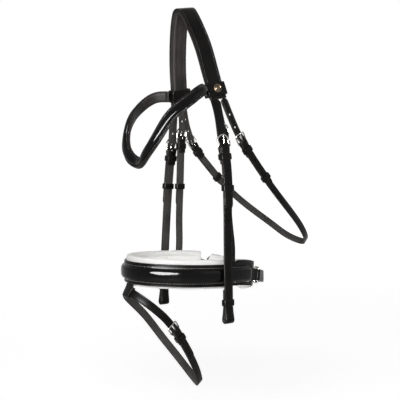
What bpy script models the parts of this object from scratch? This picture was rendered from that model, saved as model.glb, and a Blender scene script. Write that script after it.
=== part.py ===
"""Anatomic bridle, hanging as it does from a hook or over a horse's poll.

Metres, +Z up. The origin is the middle of the crown padding's underside, where the
bridle rests on the poll. -X is the horse's forward direction, -Y its left side.
"""

import math

import bmesh
import bpy
import numpy as np
from mathutils import Matrix, Vector

# Clearances
GAP = 0.0003
SWING_GAP = 0.0006
ROOT_GAP = 0.0010
LOOP_PLAY = 0.0012
RUNNER_PLAY = 0.0005
SLOT_PLAY = 0.0005
MERGE = 0.00001

# Leather thicknesses
CROWN_LEATHER = 0.0034
STRAP_LEATHER = 0.0026
LIGHT_LEATHER = 0.0022
BILLET_LEATHER = 0.0024
KEEPER_LEATHER = 0.0015
LOOP_LEATHER = 0.0018
BROW_LEATHER = 0.0025
BAND_LEATHER = 0.0030
CRANK_LEATHER = 0.0024
CHIN_LEATHER = 0.0025
FLASH_LOOP_LEATHER = 0.0020

# Strap widths
CHEEK_WIDTH = 0.016
HANGER_WIDTH = 0.013
THROAT_WIDTH = 0.0127
FLASH_WIDTH = 0.0127
CRANK_WIDTH = 0.019

# Crown
CROWN_DROP = 0.141
CROWN_LEAN = 0.0285
CROWN_SPREAD = 0.056
CROWN_WIDTH = 0.032
CROWN_PAD_WIDTH = 0.028
CROWN_PAD_DEPTH = 0.0068
CROWN_PAD_END_DEPTH = 0.0050

# Browband
BROW_LOOP_DROP = 0.126
BROW_LOOP_HEIGHT = 0.021
BROW_REACH = 0.114
BROW_SPREAD = 0.072
BROW_DIP = 0.118
BROW_AXIS = 0.015
BROW_LEAN_SHARE = 0.75
BROW_WIDTH = 0.019
BROW_START = 0.0018
BROW_ROLL_WIDTH = 0.0125
BROW_ROLL_DEPTH = 0.0046
BROW_LINING_WIDTH = 0.0175
BROW_LINING_DEPTH = 0.0038
BROW_END = 0.010
BROW_INSET = 0.0025
STUD_RADIUS = 0.0072
STUD_HEIGHT = 0.0024

# Noseband
NOSE_DROP = 0.413
NOSE_CENTRE_X = 0.014
NOSE_HALF_LENGTH = 0.122
NOSE_REAR_LENGTH = 0.142
NOSE_FALL_SHARE = 0.052
NOSE_HALF_WIDTH = 0.086
NOSE_BAND_HEIGHT = 0.034
NOSE_ROLL_WIDTH = 0.021
NOSE_ROLL_DEPTH = 0.0052
NOSE_PAD_HEIGHT = 0.045
NOSE_PAD_RAISE = 0.002
NOSE_PAD_DEPTH = 0.0090
NOSE_PAD_END = 0.012
NOSE_NARROWING = 0.030
NOSE_END_TURN = 128
NOSE_PAD_TURN = 119
NOSE_PAD_LEFT_TURN = 99
CRANK_DROOP = 0.016
CHIN_RIGHT_TURN = 124
CHIN_LEFT_TURN = 256
CHIN_HEIGHT = 0.041
CHIN_PAD_HEIGHT = 0.043
CHIN_RAISE = 0.0020
CHIN_END = 0.020
CHIN_PAD_DEPTH = 0.0090
CHIN_RIM = 0.0020
CHIN_STAND = 0.019
SIDE_CLEARANCE = 0.0016
BIT_SPLAY = 0.0041

# Cheekpieces
BIT_DROP = 0.489
CHEEK_LEAN = 0.0255
CHEEK_HEEL = 0.079
CHEEK_RUNNER = 0.064
CHEEK_TIP = 0.097
BIT_EYE = 0.0032
BIT_TAPER = 0.019
BIT_FOLD = 0.046
BIT_KEEPER = 0.026
HOOK_STUD_PLACE = 0.037
HOOK_STUD_RADIUS = 0.0034
HOOK_STUD_NECK = 0.0012
HOOK_STUD_HEAD = 0.0018

# Noseband hangers
HANGER_HEEL = 0.057
HANGER_RUNNER = 0.085
HANGER_TIP = 0.120
HANGER_X = 0.0385
HANGER_SPREAD = 0.0665
HANGER_TUCK = 0.020
HANGER_FOOT_SHARE = 1.05

# Throatlash
THROAT_REACH = 0.272
THROAT_SPREAD = 0.068
THROAT_DROP = 0.388
THROAT_LEAD_REACH = 0.0354
THROAT_LEAD_DROP = 0.0619
THROAT_HEEL = 0.079
THROAT_RUNNER = 0.076
THROAT_TIP = 0.094

# Flash
FLASH_DROP = 0.167
FLASH_REACH = 0.135
FLASH_SPREAD = 0.038
FLASH_LOOP_WIDTH = 0.018
FLASH_TAB = 0.0032
FLASH_FRONT_TILT = 30
FLASH_HEEL = 0.109
FLASH_TIP = 0.062

# Buckles
CHEEK_BAR = 0.0013
CHEEK_FRAME_HALF = 0.0108
CHEEK_FRAME_HEIGHT = 0.0205
HANGER_BAR = 0.0012
HANGER_FRAME_HALF = 0.0098
HANGER_FRAME_HEIGHT = 0.0170
THROAT_BAR = 0.0012
THROAT_FRAME_HALF = 0.0088
THROAT_FRAME_HEIGHT = 0.0160
FLASH_BAR = 0.0012
FLASH_FRAME_HALF = 0.0088
FLASH_FRAME_HEIGHT = 0.0150
CRANK_BAR = 0.0013
CRANK_FRAME_HALF = 0.0122
CRANK_FRAME_HEIGHT = 0.0170
CRANK_RING_WIRE = 0.0016
CRANK_RING_HALF = 0.0126
CRANK_RING_LENGTH = 0.0120
CRANK_HEEL = 0.0600
CRANK_TIP = 0.0205
FRAME_RISE = 0.0030
FRAME_CORNER = 0.0022
TONGUE_RADIUS = 0.0008
TONGUE_OVERHANG = 0.0012
TONGUE_EYE_TURN = 272
FOLD_TAPER = 0.009
FOLD_LENGTH = 0.026
HOLE_RADIUS = 0.0018
HOLE_PITCH = 0.022
SLOT_LENGTH = 0.0114
KEEPER_HEIGHT = 0.0095
KEEPER_PLACE = 0.0145
RUNNER_HEIGHT = 0.0095
CUT_OVERRUN = 0.004
TIP_LENGTH = 0.010

# Counts
FOLD_STEPS = 6
SPLINE_SAMPLES = 600
RING_POINTS = 12
STUD_STEPS = 16
PIN_POINTS = 10
EYE_STEPS = 7

# Spacing of the sections that the shapes are built from
ROUTE_SPACING = 0.016
BAND_SPACING = 0.014
BROW_SPACING = 0.009
CRANK_SPACING = 0.009
CROWN_SPACING = 0.0120
MARK_SPACE = 0.003

# Colours as linear values, with roughness and metallic value
BLACK_LEATHER = ((0.012, 0.011, 0.010), 0.42, 0.0)
PATENT_LEATHER = ((0.006, 0.006, 0.006), 0.10, 0.0)
CUT_LEATHER = ((0.020, 0.018, 0.017), 0.55, 0.0)
SOFT_GREY_LEATHER = ((0.060, 0.054, 0.051), 0.65, 0.0)
WHITE_PADDING = ((0.80, 0.80, 0.79), 0.70, 0.0)
BRIGHT_STEEL = ((0.62, 0.61, 0.59), 0.18, 1.0)

# Outline points, hand-chosen as shares of the sizes named beside them
CROWN_SHARES = (
    (0.000, 0.000, 0.0000),
    (0.014, 0.130, 0.0136),
    (0.056, 0.230, 0.0570),
    (0.218, 0.443, 0.2135),
    (0.428, 0.643, 0.4120),
    (0.672, 0.807, 0.6760),
    (0.884, 0.916, 0.8810),
    (1.000, 1.000, 1.0000),
)
CHEEK_SHARES = (
    (0.860, 0.675, 0.327),
    (0.961, 0.780, 0.427),
    (1.000, 0.839, 0.491),
    (0.980, 0.893, 0.575),
    (0.863, 0.955, 0.783),
    (0.830, 0.978, 0.879),
    (0.804, 1.000, 1.000),
)
HANGER_SHARES = (
    (0.850, 0.812, 0.395),
    (0.935, 0.878, 0.453),
    (0.966, 0.925, 0.520),
    (1.000, 1.000, 0.683),
    (1.030, 1.075, 0.835),
)
THROAT_SHARES = (
    (0.360, 0.975, 0.629),
    (0.530, 0.912, 0.747),
    (0.720, 0.740, 0.853),
    (0.864, 0.529, 0.930),
    (0.949, 0.320, 0.978),
    (1.000, 0.000, 1.000),
)
FLASH_SHARES = (
    (0.010, 0.260, 0.015),
    (0.065, 0.620, 0.060),
    (0.185, 0.870, 0.145),
    (0.370, 0.960, 0.285),
    (0.590, 0.880, 0.510),
    (0.800, 0.600, 0.745),
    (0.940, 0.290, 0.920),
    (1.000, 0.000, 1.000),
)
BROW_SHARES = (
    (0.316, 0.930, 0.040),
    (0.553, 1.000, 0.180),
    (0.798, 0.830, 0.402),
    (0.943, 0.632, 0.680),
    (1.000, 0.333, 0.905),
    (0.960, 0.000, 1.000),
)
PAD_SHARES = (
    (-0.86, 0.00),
    (-1.00, 0.30),
    (-0.93, 0.68),
    (-0.58, 0.94),
    (0.00, 1.00),
    (0.58, 0.94),
    (0.93, 0.68),
    (1.00, 0.30),
    (0.86, 0.00),
    (0.00, 0.00),
)
ROLL_SHARES = (
    (-1.00, 0.00),
    (-0.98, 0.42),
    (-0.74, 0.84),
    (-0.28, 1.00),
    (0.28, 1.00),
    (0.74, 0.84),
    (0.98, 0.42),
    (1.00, 0.00),
    (0.00, 0.00),
)
END_SHARES = ((0.00, 0.00), (0.03, 0.45), (0.25, 0.80), (0.60, 0.96), (1.00, 1.00))
CHIN_END_SHARES = ((0.00, 0.55), (0.20, 0.80), (0.55, 0.96), (1.00, 1.00))
TIP_SHARES = ((0.00, 1.00), (0.45, 0.94), (0.80, 0.66), (1.00, 0.30))
ROUND_SHARES = ((0.03, 0.26), (0.20, 0.60), (0.50, 0.866), (1.00, 1.00))
STUD_SHARES = (
    (0.00, 1.00),
    (0.40, 0.92),
    (0.66, 0.62),
    (0.72, 0.62),
    (0.80, 0.84),
    (0.92, 0.84),
    (1.00, 0.55),
    (1.00, 0.00),
    (0.00, 0.00),
)
CHANNEL_SHARES = (0.17, 0.39, 0.61, 0.83)
CHANNEL_DEPTH_SHARE = 0.16
CHANNEL_WIDTH_SHARE = 0.035


# Collections
def fresh_collections():
    for thing in list(bpy.data.objects):
        bpy.data.objects.remove(thing, do_unlink=True)
    made = []
    for title in ("Anatomic bridle", "Cutting tools"):
        group = bpy.data.collections.new(title)
        bpy.context.scene.collection.children.link(group)
        made.append(group)
    return made


BRIDLE, CUTTERS = fresh_collections()


# Smooth routes
def natural_spline(points, samples):
    """Points along the natural cubic spline through the given ones, and their knots."""
    knots = np.array([tuple(point) for point in points], dtype=float)
    steps = np.linalg.norm(np.diff(knots, axis=0), axis=1)
    places = np.concatenate([[0.0], np.cumsum(steps)])
    count = len(knots)
    matrix = np.zeros((count, count))
    target = np.zeros((count, 3))
    matrix[0, 0] = matrix[-1, -1] = 1
    for i in range(1, count - 1):
        before, after = steps[i - 1], steps[i]
        matrix[i, i - 1] = before
        matrix[i, i] = 2 * (before + after)
        matrix[i, i + 1] = after
        slope_after = (knots[i + 1] - knots[i]) / after
        slope_before = (knots[i] - knots[i - 1]) / before
        target[i] = 6 * (slope_after - slope_before)
    bend = np.linalg.solve(matrix, target)
    wanted = np.linspace(0.0, places[-1], samples)
    span = np.clip(np.searchsorted(places, wanted, side="right") - 1, 0, count - 2)
    width = steps[span][:, None]
    right = (wanted - places[span])[:, None]
    left = width - right
    curve = (bend[span] * left**3 + bend[span + 1] * right**3) / (6 * width)
    curve += (knots[span] / width - bend[span] * width / 6) * left
    curve += (knots[span + 1] / width - bend[span + 1] * width / 6) * right
    return curve, places


class Route:
    """A smooth line measured by length, with a width direction and an outward side."""

    def __init__(self, points, wide, side=1, closed=False):
        self.line, places = natural_spline(points, SPLINE_SAMPLES)
        lengths = np.linalg.norm(np.diff(self.line, axis=0), axis=1)
        self.run = np.concatenate([[0.0], np.cumsum(lengths)])
        self.length = float(self.run[-1])
        self.knots = np.interp(places, np.linspace(0, places[-1], SPLINE_SAMPLES), self.run)
        self.wide = wide
        self.side = side
        self.closed = closed
        slopes = np.gradient(self.line, axis=0)
        self.slopes = slopes / np.linalg.norm(slopes, axis=1)[:, None]

    def read(self, table, s):
        return Vector([float(np.interp(s, self.run, table[:, k])) for k in range(3)])

    def wrapped(self, s):
        return s % self.length if self.closed else s

    def axes(self, s):
        """Directions along, across and out of the strap at length s."""
        along = self.read(self.slopes, self.wrapped(s)).normalized()
        wide = self.wide
        if callable(wide):
            wide = wide(self.read(self.line, self.wrapped(s)), along)
        across = (wide - wide.dot(along) * along).normalized()
        out = self.side * across.cross(along)
        return along, across, out

    def place(self, s, out=0.0, across=0.0):
        inside = self.wrapped(s)
        held = min(max(inside, 0.0), self.length)
        along, wide, outward = self.axes(s)
        return self.read(self.line, held) + along * (inside - held) + outward * out + wide * across


class Seat:
    """Buckle coordinates: d runs from the heel bar into the strap that holds it."""

    def __init__(self, route, heel, sign=1):
        self.route = route
        self.heel = heel
        self.sign = sign

    def place(self, d, out=0.0, across=0.0):
        return self.route.place(self.heel + self.sign * d, out, across)

    def axes(self, d):
        along, across, out = self.route.axes(self.heel + self.sign * d)
        return self.sign * along, across, out


def flipped(point):
    return Vector((point.x, -point.y, point.z))


def mirrored(rows):
    """The same rows on the other side of the bridle, in the opposite order."""
    return [(flipped(centre), flipped(across)) for centre, across in reversed(rows)]


def both_sides(points):
    """A line of points that starts at the middle, continued to the other side."""
    return [flipped(Vector(point)) for point in reversed(points[1:])] + [Vector(p) for p in points]


def spaced(start, end, spacing=ROUTE_SPACING):
    """Lengths from start to end in even steps near the spacing."""
    count = max(1, round(abs(end - start) / spacing))
    return [start + (end - start) * k / count for k in range(count + 1)]


# Materials and objects
def make_material(name, look):
    colour, roughness, metallic = look
    material = bpy.data.materials.new(name + "_finish")
    material.use_nodes = True
    shader = material.node_tree.nodes["Principled BSDF"]
    shader.inputs["Base Color"].default_value = (*colour, 1.0)
    shader.inputs["Roughness"].default_value = roughness
    shader.inputs["Metallic"].default_value = metallic
    return material


def make_object(name, data, look, parent):
    data.materials.append(make_material(name, look))
    piece = bpy.data.objects.new(name, data)
    BRIDLE.objects.link(piece)
    hang(piece, parent)
    return piece


def hang(piece, parent):
    """Parents a piece to a joint's empty and keeps its place in the world."""
    if parent is not None:
        piece.parent = parent
        piece.matrix_parent_inverse = Matrix.Translation(-joint_places[parent.name])


joint_places = {}


def joint_empty(name, place, parent=None):
    empty = bpy.data.objects.new(name, None)
    BRIDLE.objects.link(empty)
    joint_places[name] = Vector(place)
    if parent is None:
        empty.location = place
    else:
        empty.parent = parent
        empty.location = Vector(place) - joint_places[parent.name]
    return empty


def mesh_from(name, sheet):
    mesh = bpy.data.meshes.new(name)
    sheet.to_mesh(mesh)
    sheet.free()
    return mesh


def thicken(piece, thickness):
    solid = piece.modifiers.new("Leather thickness", "SOLIDIFY")
    solid.thickness = thickness
    solid.offset = 0
    solid.use_even_offset = True
    return solid


def ribbon(name, rows, leather, look, parent=None, lanes=1):
    """A strap: a grid strip laid through rows of (centre, half width) and thickened."""
    sheet = bmesh.new()
    bmesh.ops.create_grid(sheet, x_segments=lanes, y_segments=len(rows) - 1, size=1.0)
    for vert in sheet.verts:
        centre, across = rows[round((vert.co.y + 1) / 2 * (len(rows) - 1))]
        vert.co = centre + across * vert.co.x
    piece = make_object(name, mesh_from(name, sheet), look, parent)
    thicken(piece, leather)
    return piece


def moulding(name, sections, look, parent=None):
    """A padded form: a grid wrapped through closed sections, pinched shut at its ends."""
    around = len(sections[0])
    sheet = bmesh.new()
    bmesh.ops.create_grid(sheet, x_segments=around, y_segments=len(sections) - 1, size=1.0)
    for vert in sheet.verts:
        section = sections[round((vert.co.y + 1) / 2 * (len(sections) - 1))]
        vert.co = section[round((vert.co.x + 1) / 2 * around) % around]
    bmesh.ops.remove_doubles(sheet, verts=sheet.verts, dist=MERGE)
    bmesh.ops.recalc_face_normals(sheet, faces=sheet.faces)
    mesh = mesh_from(name, sheet)
    mesh.shade_smooth()
    return make_object(name, mesh, look, parent)


def wire(name, points, radius, look, parent=None, closed=False):
    """Round wire bent through points."""
    curve = bpy.data.curves.new(name, "CURVE")
    curve.dimensions = "3D"
    curve.bevel_depth = radius
    curve.bevel_resolution = 2
    curve.use_fill_caps = not closed
    spline = curve.splines.new("POLY")
    spline.points.add(len(points) - 1)
    for knot, point in zip(spline.points, points):
        knot.co = (*point, 1.0)
    spline.use_cyclic_u = closed
    return make_object(name, curve, look, parent)


# Cutting tools
def new_cutter(name, sheet):
    cutter = bpy.data.objects.new(name, mesh_from(name, sheet))
    cutter.hide_render = True
    cutter.display_type = "WIRE"
    CUTTERS.objects.link(cutter)
    return cutter


def frame_matrix(centre, axes, halves):
    """Places a unit shape: its X along, Y across and Z out, at the given half sizes."""
    columns = [axis * half for axis, half in zip(axes, halves)]
    matrix = Matrix.Identity(4)
    for k, column in enumerate(columns):
        for row in range(3):
            matrix[row][k] = column[row]
    return Matrix.Translation(centre) @ matrix


def cut(piece, name, blocks=(), pins=()):
    """Cuts boxes and oblong pins, each given by its centre, axes and half sizes."""
    sheet = bmesh.new()
    for centre, axes, halves in blocks:
        bmesh.ops.create_cube(sheet, size=2.0, matrix=frame_matrix(centre, axes, halves))
    for centre, axes, (long, wide, deep) in pins:
        pin = bmesh.ops.create_cone(sheet, cap_ends=True, segments=PIN_POINTS, radius1=wide,
                                    radius2=wide, depth=2 * deep)
        for vert in pin["verts"]:
            vert.co.x += math.copysign(long - wide, vert.co.x)
        bmesh.ops.transform(sheet, matrix=frame_matrix(centre, axes, (1, 1, 1)), verts=pin["verts"])
    bmesh.ops.recalc_face_normals(sheet, faces=sheet.faces)
    boolean = piece.modifiers.new("Cut " + name, "BOOLEAN")
    boolean.operation = "DIFFERENCE"
    boolean.solver = "EXACT"
    boolean.object = new_cutter(name, sheet)


# Strap ends and buckles
def fold_pairs(bar, leather, back, taper):
    """(d, out) along a strap end folded round a bar, from the back layer to the front."""
    middle = -(leather + GAP) / 2
    reach = bar + GAP + leather / 2
    flare = reach + middle
    pairs = [(back, 2 * middle), ((back + taper) / 2, 2 * middle), (taper, 2 * middle)]
    pairs.append((taper / 2, 2 * middle - flare * 0.4))
    for k in range(FOLD_STEPS + 1):
        turn = math.pi * k / FOLD_STEPS
        pairs.append((-reach * math.sin(turn), middle - reach * math.cos(turn)))
    pairs.append((taper / 2, flare * 0.4))
    pairs.append((taper, 0.0))
    return pairs


class Buckle:
    """Sizes and levels of one buckle and of the layers that it joins."""

    def __init__(self, bar, half, height, width, strap, rise=FRAME_RISE, sink=None, pile=0.0,
                 billet=None, round_top=False):
        billet = strap if billet is None else billet
        self.round_top = round_top
        self.bar = bar
        self.half = half
        self.height = height
        self.strap = strap
        self.billet = billet
        self.rise = rise
        self.sink = -(strap + GAP) / 2 if sink is None else sink
        self.reach = bar + GAP + strap / 2
        self.pin = bar + GAP + TONGUE_RADIUS
        self.crossing = height
        if round_top:
            self.crossing += math.sqrt(half * half - width * width / 4) - half
        self.under = self.level(-self.crossing) - bar - GAP - billet / 2
        self.over = self.sink + self.reach + strap / 2 + GAP + billet / 2
        self.lie = pile + strap / 2 + GAP + billet / 2
        self.fold_top = self.sink + self.reach + strap / 2 + GAP / 2

    def level(self, d):
        """The frame's height above the strap at d."""
        return self.sink + self.rise * -d / self.height

    def lead_in(self, start):
        """(d, out) of a billet's centre from its start until it dips under the frame."""
        foot = -self.height - FOLD_TAPER
        slope = self.under / (foot - start)
        return [(d, slope * (d - start)) for d in spaced(start, foot)[:-1]]

    def billet_pairs(self, tip):
        """(d, out) of a billet's centre from under the frame, over the heel bar, to its tip."""
        bar = self.bar
        pairs = [(-self.height - FOLD_TAPER, self.under), (bar * 1.8 - self.crossing, self.under)]
        pairs += [(-bar * 3, (self.under + self.over * 4) / 5), (-bar, self.over)]
        pairs += [(bar, self.over), (FOLD_TAPER * 0.55, (self.over + self.lie) / 2)]
        pairs += [(d, self.lie) for d in spaced(FOLD_TAPER, tip - TIP_LENGTH)]
        return pairs


def buckle_frame(name, buckle, seat, parent):
    """The wire frame, from the heel bar in the strap's fold to the bar the tongue rests on."""
    half, height, corner = buckle.half, buckle.height, FRAME_CORNER
    outline = [(corner - half, 0.0), (half - corner, 0.0), (half, -corner)]
    if buckle.round_top:
        straight = height - half
        for k in range(8):
            turn = math.pi * k / 7
            outline.append((half * math.cos(turn), -straight - half * math.sin(turn)))
    else:
        outline += [(half, corner - height), (half - corner, -height)]
        outline += [(corner - half, -height), (-half, corner - height)]
    outline.append((-half, -corner))
    points = [seat.place(d, buckle.level(d), across) for across, d in outline]
    return wire(name, points, buckle.bar, BRIGHT_STEEL, parent, closed=True)


def buckle_tongue(name, buckle, seat, parent):
    """The tongue: an open eye round the heel bar and a shank that lies on the top bar."""
    points = []
    for k in range(EYE_STEPS, -1, -1):
        turn = math.radians(TONGUE_EYE_TURN) * k / EYE_STEPS
        rise = buckle.sink + buckle.pin * math.cos(turn)
        points.append(seat.place(buckle.pin * math.sin(turn), rise))
    for share in (0.5, 1.0):
        d = -(buckle.height + TONGUE_OVERHANG) * share
        points.append(seat.place(d, buckle.level(d) + buckle.pin))
    return wire(name, points, TONGUE_RADIUS, BRIGHT_STEEL, parent)


def tongue_slot(piece, name, buckle, seat, low=None, high=None):
    """Clears the strap's fold where the tongue's eye goes round the heel bar."""
    low = buckle.sink - buckle.reach - CUT_OVERRUN if low is None else low
    high = buckle.sink + buckle.reach + CUT_OVERRUN if high is None else high
    ahead = -(buckle.reach + buckle.strap / 2 + SLOT_PLAY)
    behind = buckle.pin + TONGUE_RADIUS + SLOT_PLAY
    middle = (ahead + behind) / 2
    halves = ((behind - ahead) / 2, TONGUE_RADIUS + SLOT_PLAY, (high - low) / 2)
    cut(piece, name, blocks=[(seat.place(middle, (low + high) / 2), seat.axes(middle), halves)])


def billet_holes(piece, name, buckle, seat, above, below):
    """The hole that the tongue goes through, and spare holes at an even pitch."""
    depth = buckle.billet + CUT_OVERRUN / 2
    middle = -SLOT_LENGTH / 2 - buckle.bar
    level = (buckle.under + buckle.over) / 2
    halves = (SLOT_LENGTH / 2, TONGUE_RADIUS + SLOT_PLAY, depth + CUT_OVERRUN / 2)
    pins = [(seat.place(middle, level), seat.axes(middle), halves)]
    spare = (HOLE_RADIUS, HOLE_RADIUS, depth)
    for k in range(1, above + 1):
        d = middle - HOLE_PITCH * k
        pins.append((seat.place(d, buckle.under), seat.axes(d), spare))
    for k in range(2, below + 2):
        d = middle + HOLE_PITCH * k
        pins.append((seat.place(d, buckle.lie), seat.axes(d), spare))
    cut(piece, name, pins=pins)


def ring_outline(half, low, high, corner):
    """A rectangle with rounded corners, three points to a corner."""
    points = []
    lean = corner * (1 - math.cos(math.pi / 4))
    for x_side, y_side in ((1, 1), (-1, 1), (-1, -1), (1, -1)):
        edge = high if y_side > 0 else low
        trio = [(x_side * half, edge - y_side * corner)]
        trio.append((x_side * (half - lean), edge - y_side * lean))
        trio.append((x_side * (half - corner), edge))
        points += trio if x_side * y_side > 0 else trio[::-1]
    return points


def band_mesh(name, place, d, height, half, low, high, room):
    """The middle surface of a leather loop round a strap, room clear of it all round."""
    outline = ring_outline(half + room, low - room, high + room, KEEPER_LEATHER)
    sheet = bmesh.new()
    bmesh.ops.create_cone(sheet, cap_ends=False, segments=RING_POINTS, radius1=1.0, radius2=1.0,
                          depth=2.0)
    for vert in sheet.verts:
        turn = math.atan2(vert.co.y, vert.co.x) / math.tau
        across, out = outline[round(turn * RING_POINTS) % RING_POINTS]
        vert.co = place(d + vert.co.z * height / 2, out, across)
    return mesh_from(name, sheet)


def band(name, place, d, height, half, low, high, parent, wall=KEEPER_LEATHER, play=GAP):
    """A leather loop at d round whatever lies between low and high."""
    mesh = band_mesh(name, place, d, height, half, low, high, play + wall / 2)
    piece = make_object(name, mesh, BLACK_LEATHER, parent)
    thicken(piece, wall)
    return piece


def fixed_keeper(name, buckle, seat, half, parent):
    """The keeper just below a buckle, round the strap's fold and the billet."""
    low = -(buckle.strap + GAP) - buckle.strap / 2
    high = buckle.lie + buckle.billet / 2
    return band(name, seat.place, KEEPER_PLACE, KEEPER_HEIGHT, half, low, high, parent)


def sewn_keeper(strap, name, buckle, seat, half):
    """The same keeper where it is sewn to the back of the fold, joined to the strap."""
    low = -(buckle.strap + GAP) - buckle.strap / 2 + KEEPER_LEATHER / 2 + GAP
    high = buckle.lie + buckle.billet / 2
    room = GAP + KEEPER_LEATHER / 2
    mesh = band_mesh(name, seat.place, KEEPER_PLACE, KEEPER_HEIGHT, half, low, high, room)
    loop = bpy.data.objects.new(name, mesh)
    loop.hide_render = True
    loop.display_type = "WIRE"
    CUTTERS.objects.link(loop)
    thicken(loop, KEEPER_LEATHER)
    union = strap.modifiers.new("Join " + name, "BOOLEAN")
    union.operation = "UNION"
    union.solver = "EXACT"
    union.object = loop


def runner(name, buckle, seat, half, d, parent):
    """A sliding keeper round the strap and the billet."""
    high = buckle.lie + buckle.billet / 2
    low = -buckle.strap / 2
    return band(name, seat.place, d, RUNNER_HEIGHT, half, low, high, parent, play=RUNNER_PLAY)


def rounded_start(route, start, radius, half):
    """Rows of a strap end rounded like a half disc."""
    rows = []
    for depth, width in ROUND_SHARES:
        s = start + radius * depth
        rows.append((route.place(s), route.axes(s)[1] * half * width))
    return rows


def strap_tip(seat, tip, out, half):
    """Rows of a strap's narrowed tip, past its last full width."""
    rows = []
    for depth, width in TIP_SHARES[1:]:
        d = tip - TIP_LENGTH * (1 - depth)
        rows.append((seat.place(d, out), seat.axes(d)[1] * half * width))
    return rows


def seat_rows(seat, pairs, half):
    return [(seat.place(d, out), seat.axes(d)[1] * half) for d, out in pairs]


def turned(name, profile, matrix, look, parent):
    """A turned fitting: a profile of (radius, height) spun round its axis and placed."""
    sheet = bmesh.new()
    verts = [sheet.verts.new((radius, 0.0, height)) for radius, height in profile]
    edges = [sheet.edges.new(pair) for pair in zip(verts, verts[1:])]
    bmesh.ops.spin(sheet, geom=verts + edges, cent=(0, 0, 0), axis=(0, 0, 1), angle=math.tau,
                   steps=STUD_STEPS)
    bmesh.ops.remove_doubles(sheet, verts=sheet.verts, dist=MERGE)
    bmesh.ops.transform(sheet, matrix=matrix, verts=sheet.verts)
    bmesh.ops.recalc_face_normals(sheet, faces=sheet.faces)
    mesh = mesh_from(name, sheet)
    mesh.shade_smooth()
    return make_object(name, mesh, look, parent)


def shared_marks(start, end, end_length, spacing, channels=()):
    """Lengths at which a band and the forms on it all have their sections."""
    marks = [start + end_length * place for place, swell in END_SHARES]
    marks += spaced(start + end_length, end - end_length, spacing)[1:-1]
    marks += [end - end_length * place for place, swell in END_SHARES]
    width = CHANNEL_WIDTH_SHARE * (end - start)
    for channel in channels:
        middle = start + channel * (end - start)
        marks = [mark for mark in marks if abs(mark - middle) > width * 1.3]
        marks += [middle + width * offset for offset in (-1.0, -0.4, 0.0, 0.4, 1.0)]
    return sorted(marks)


def padded_form(name, route, marks, half, depth, level, facing, look, parent,
                end_length=None, shares=PAD_SHARES, channels=(), raised=0.0):
    """A form along a route between its marks, crowned, and drawn in at both ends."""
    start, end = marks[0], marks[-1]
    width = CHANNEL_WIDTH_SHARE * (end - start)
    sections = []
    for s in marks:
        swell = 1.0
        if end_length is not None:
            swell = float(np.interp(min(s - start, end - s) / end_length, *zip(*END_SHARES)))
        for channel in channels:
            offset = abs(s - start - channel * (end - start)) / width
            swell -= CHANNEL_DEPTH_SHARE * float(np.interp(offset, (0.0, 0.4, 1.0), (1.0, 0.7, 0.0)))
        deep = depth(s) if callable(depth) else depth
        base = level(s) if callable(level) else level
        wide = half * min(1.0, 0.25 + swell)
        if swell == 0.0:
            sections.append([route.place(s, base + facing * deep / 4, raised)] * len(shares))
            continue
        sections.append([
            route.place(s, base + facing * deep * rise * swell, raised + across * wide)
            for across, rise in shares
        ])
    return moulding(name, sections, look, parent)


# Routes of the bridle
UPWARD = Vector((0, 0, 1))
NOSE_TURNS = range(0, 271, 10)
DROOP_TURN = 104
CROWN_TOP = CROWN_LEATHER / 2 + GAP + CROWN_PAD_DEPTH
CROWN_WIDE = Vector((CROWN_DROP, 0, CROWN_LEAN)).normalized()
NOSE_BASE_LENGTH = NOSE_HALF_LENGTH - NOSE_ROLL_DEPTH - GAP - BAND_LEATHER / 2
NOSE_BASE_WIDTH = NOSE_HALF_WIDTH - NOSE_ROLL_DEPTH - GAP - BAND_LEATHER / 2
BIT_SPREAD = NOSE_HALF_WIDTH + SIDE_CLEARANCE + STRAP_LEATHER / 2 + BIT_SPLAY


def crown_route(side):
    half = [
        Vector((CROWN_LEAN * x, side * CROWN_SPREAD * y, CROWN_TOP - (CROWN_DROP + CROWN_TOP) * z))
        for x, y, z in CROWN_SHARES
    ]
    return Route(both_sides(half), CROWN_WIDE, side)


def nose_point(turn, side):
    """A point of the noseband leather's centre line, turn degrees from the front."""
    angle = math.radians(turn)
    rearward = min(turn, 360 - turn)
    sag = max(rearward - DROOP_TURN, 0) / (180 - DROOP_TURN)
    sag = sag * sag * (3 - 2 * sag)
    x = -math.cos(angle) * (NOSE_BASE_LENGTH if rearward < 90 else NOSE_REAR_LENGTH)
    fall = NOSE_FALL_SHARE * (x + NOSE_BASE_LENGTH) + CRANK_DROOP * sag
    return Vector((NOSE_CENTRE_X + x, side * NOSE_BASE_WIDTH * math.sin(angle), -NOSE_DROP - fall))


def nose_route(side):
    """The noseband's line all round the muzzle, past its own start at the rear."""
    return Route(both_sides([nose_point(turn, side) for turn in NOSE_TURNS]), UPWARD, side)


def turn_place(turn):
    """Length along the noseband's line where the given turn lies."""
    return float(np.interp(turn, NOSE_TURNS, NOSE[1].knots[len(NOSE_TURNS) - 1:]))


CROWN = {side: crown_route(side) for side in (1, -1)}
NOSE = {side: nose_route(side) for side in (1, -1)}
CROWN_END = CROWN[1].length
CHEEK_ACROSS = (CHEEK_WIDTH - CROWN_WIDTH) / 2
THROAT_ACROSS = (CROWN_WIDTH - THROAT_WIDTH) / 2
HANGER_LEVEL = -(CROWN_LEATHER / 2 + GAP + CROWN_PAD_END_DEPTH / 2)


def side_points(shares, x_size, y_size, z_size, side):
    return [Vector((x_size * x, side * y_size * y, -z_size * z)) for x, y, z in shares]


def cheek_route(side):
    points = [CROWN[side].place(CROWN_END + ROOT_GAP, 0.0, CHEEK_ACROSS)]
    points += side_points(CHEEK_SHARES, CHEEK_LEAN, BIT_SPREAD, BIT_DROP, side)
    return Route(points, CROWN_WIDE, side)


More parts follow.
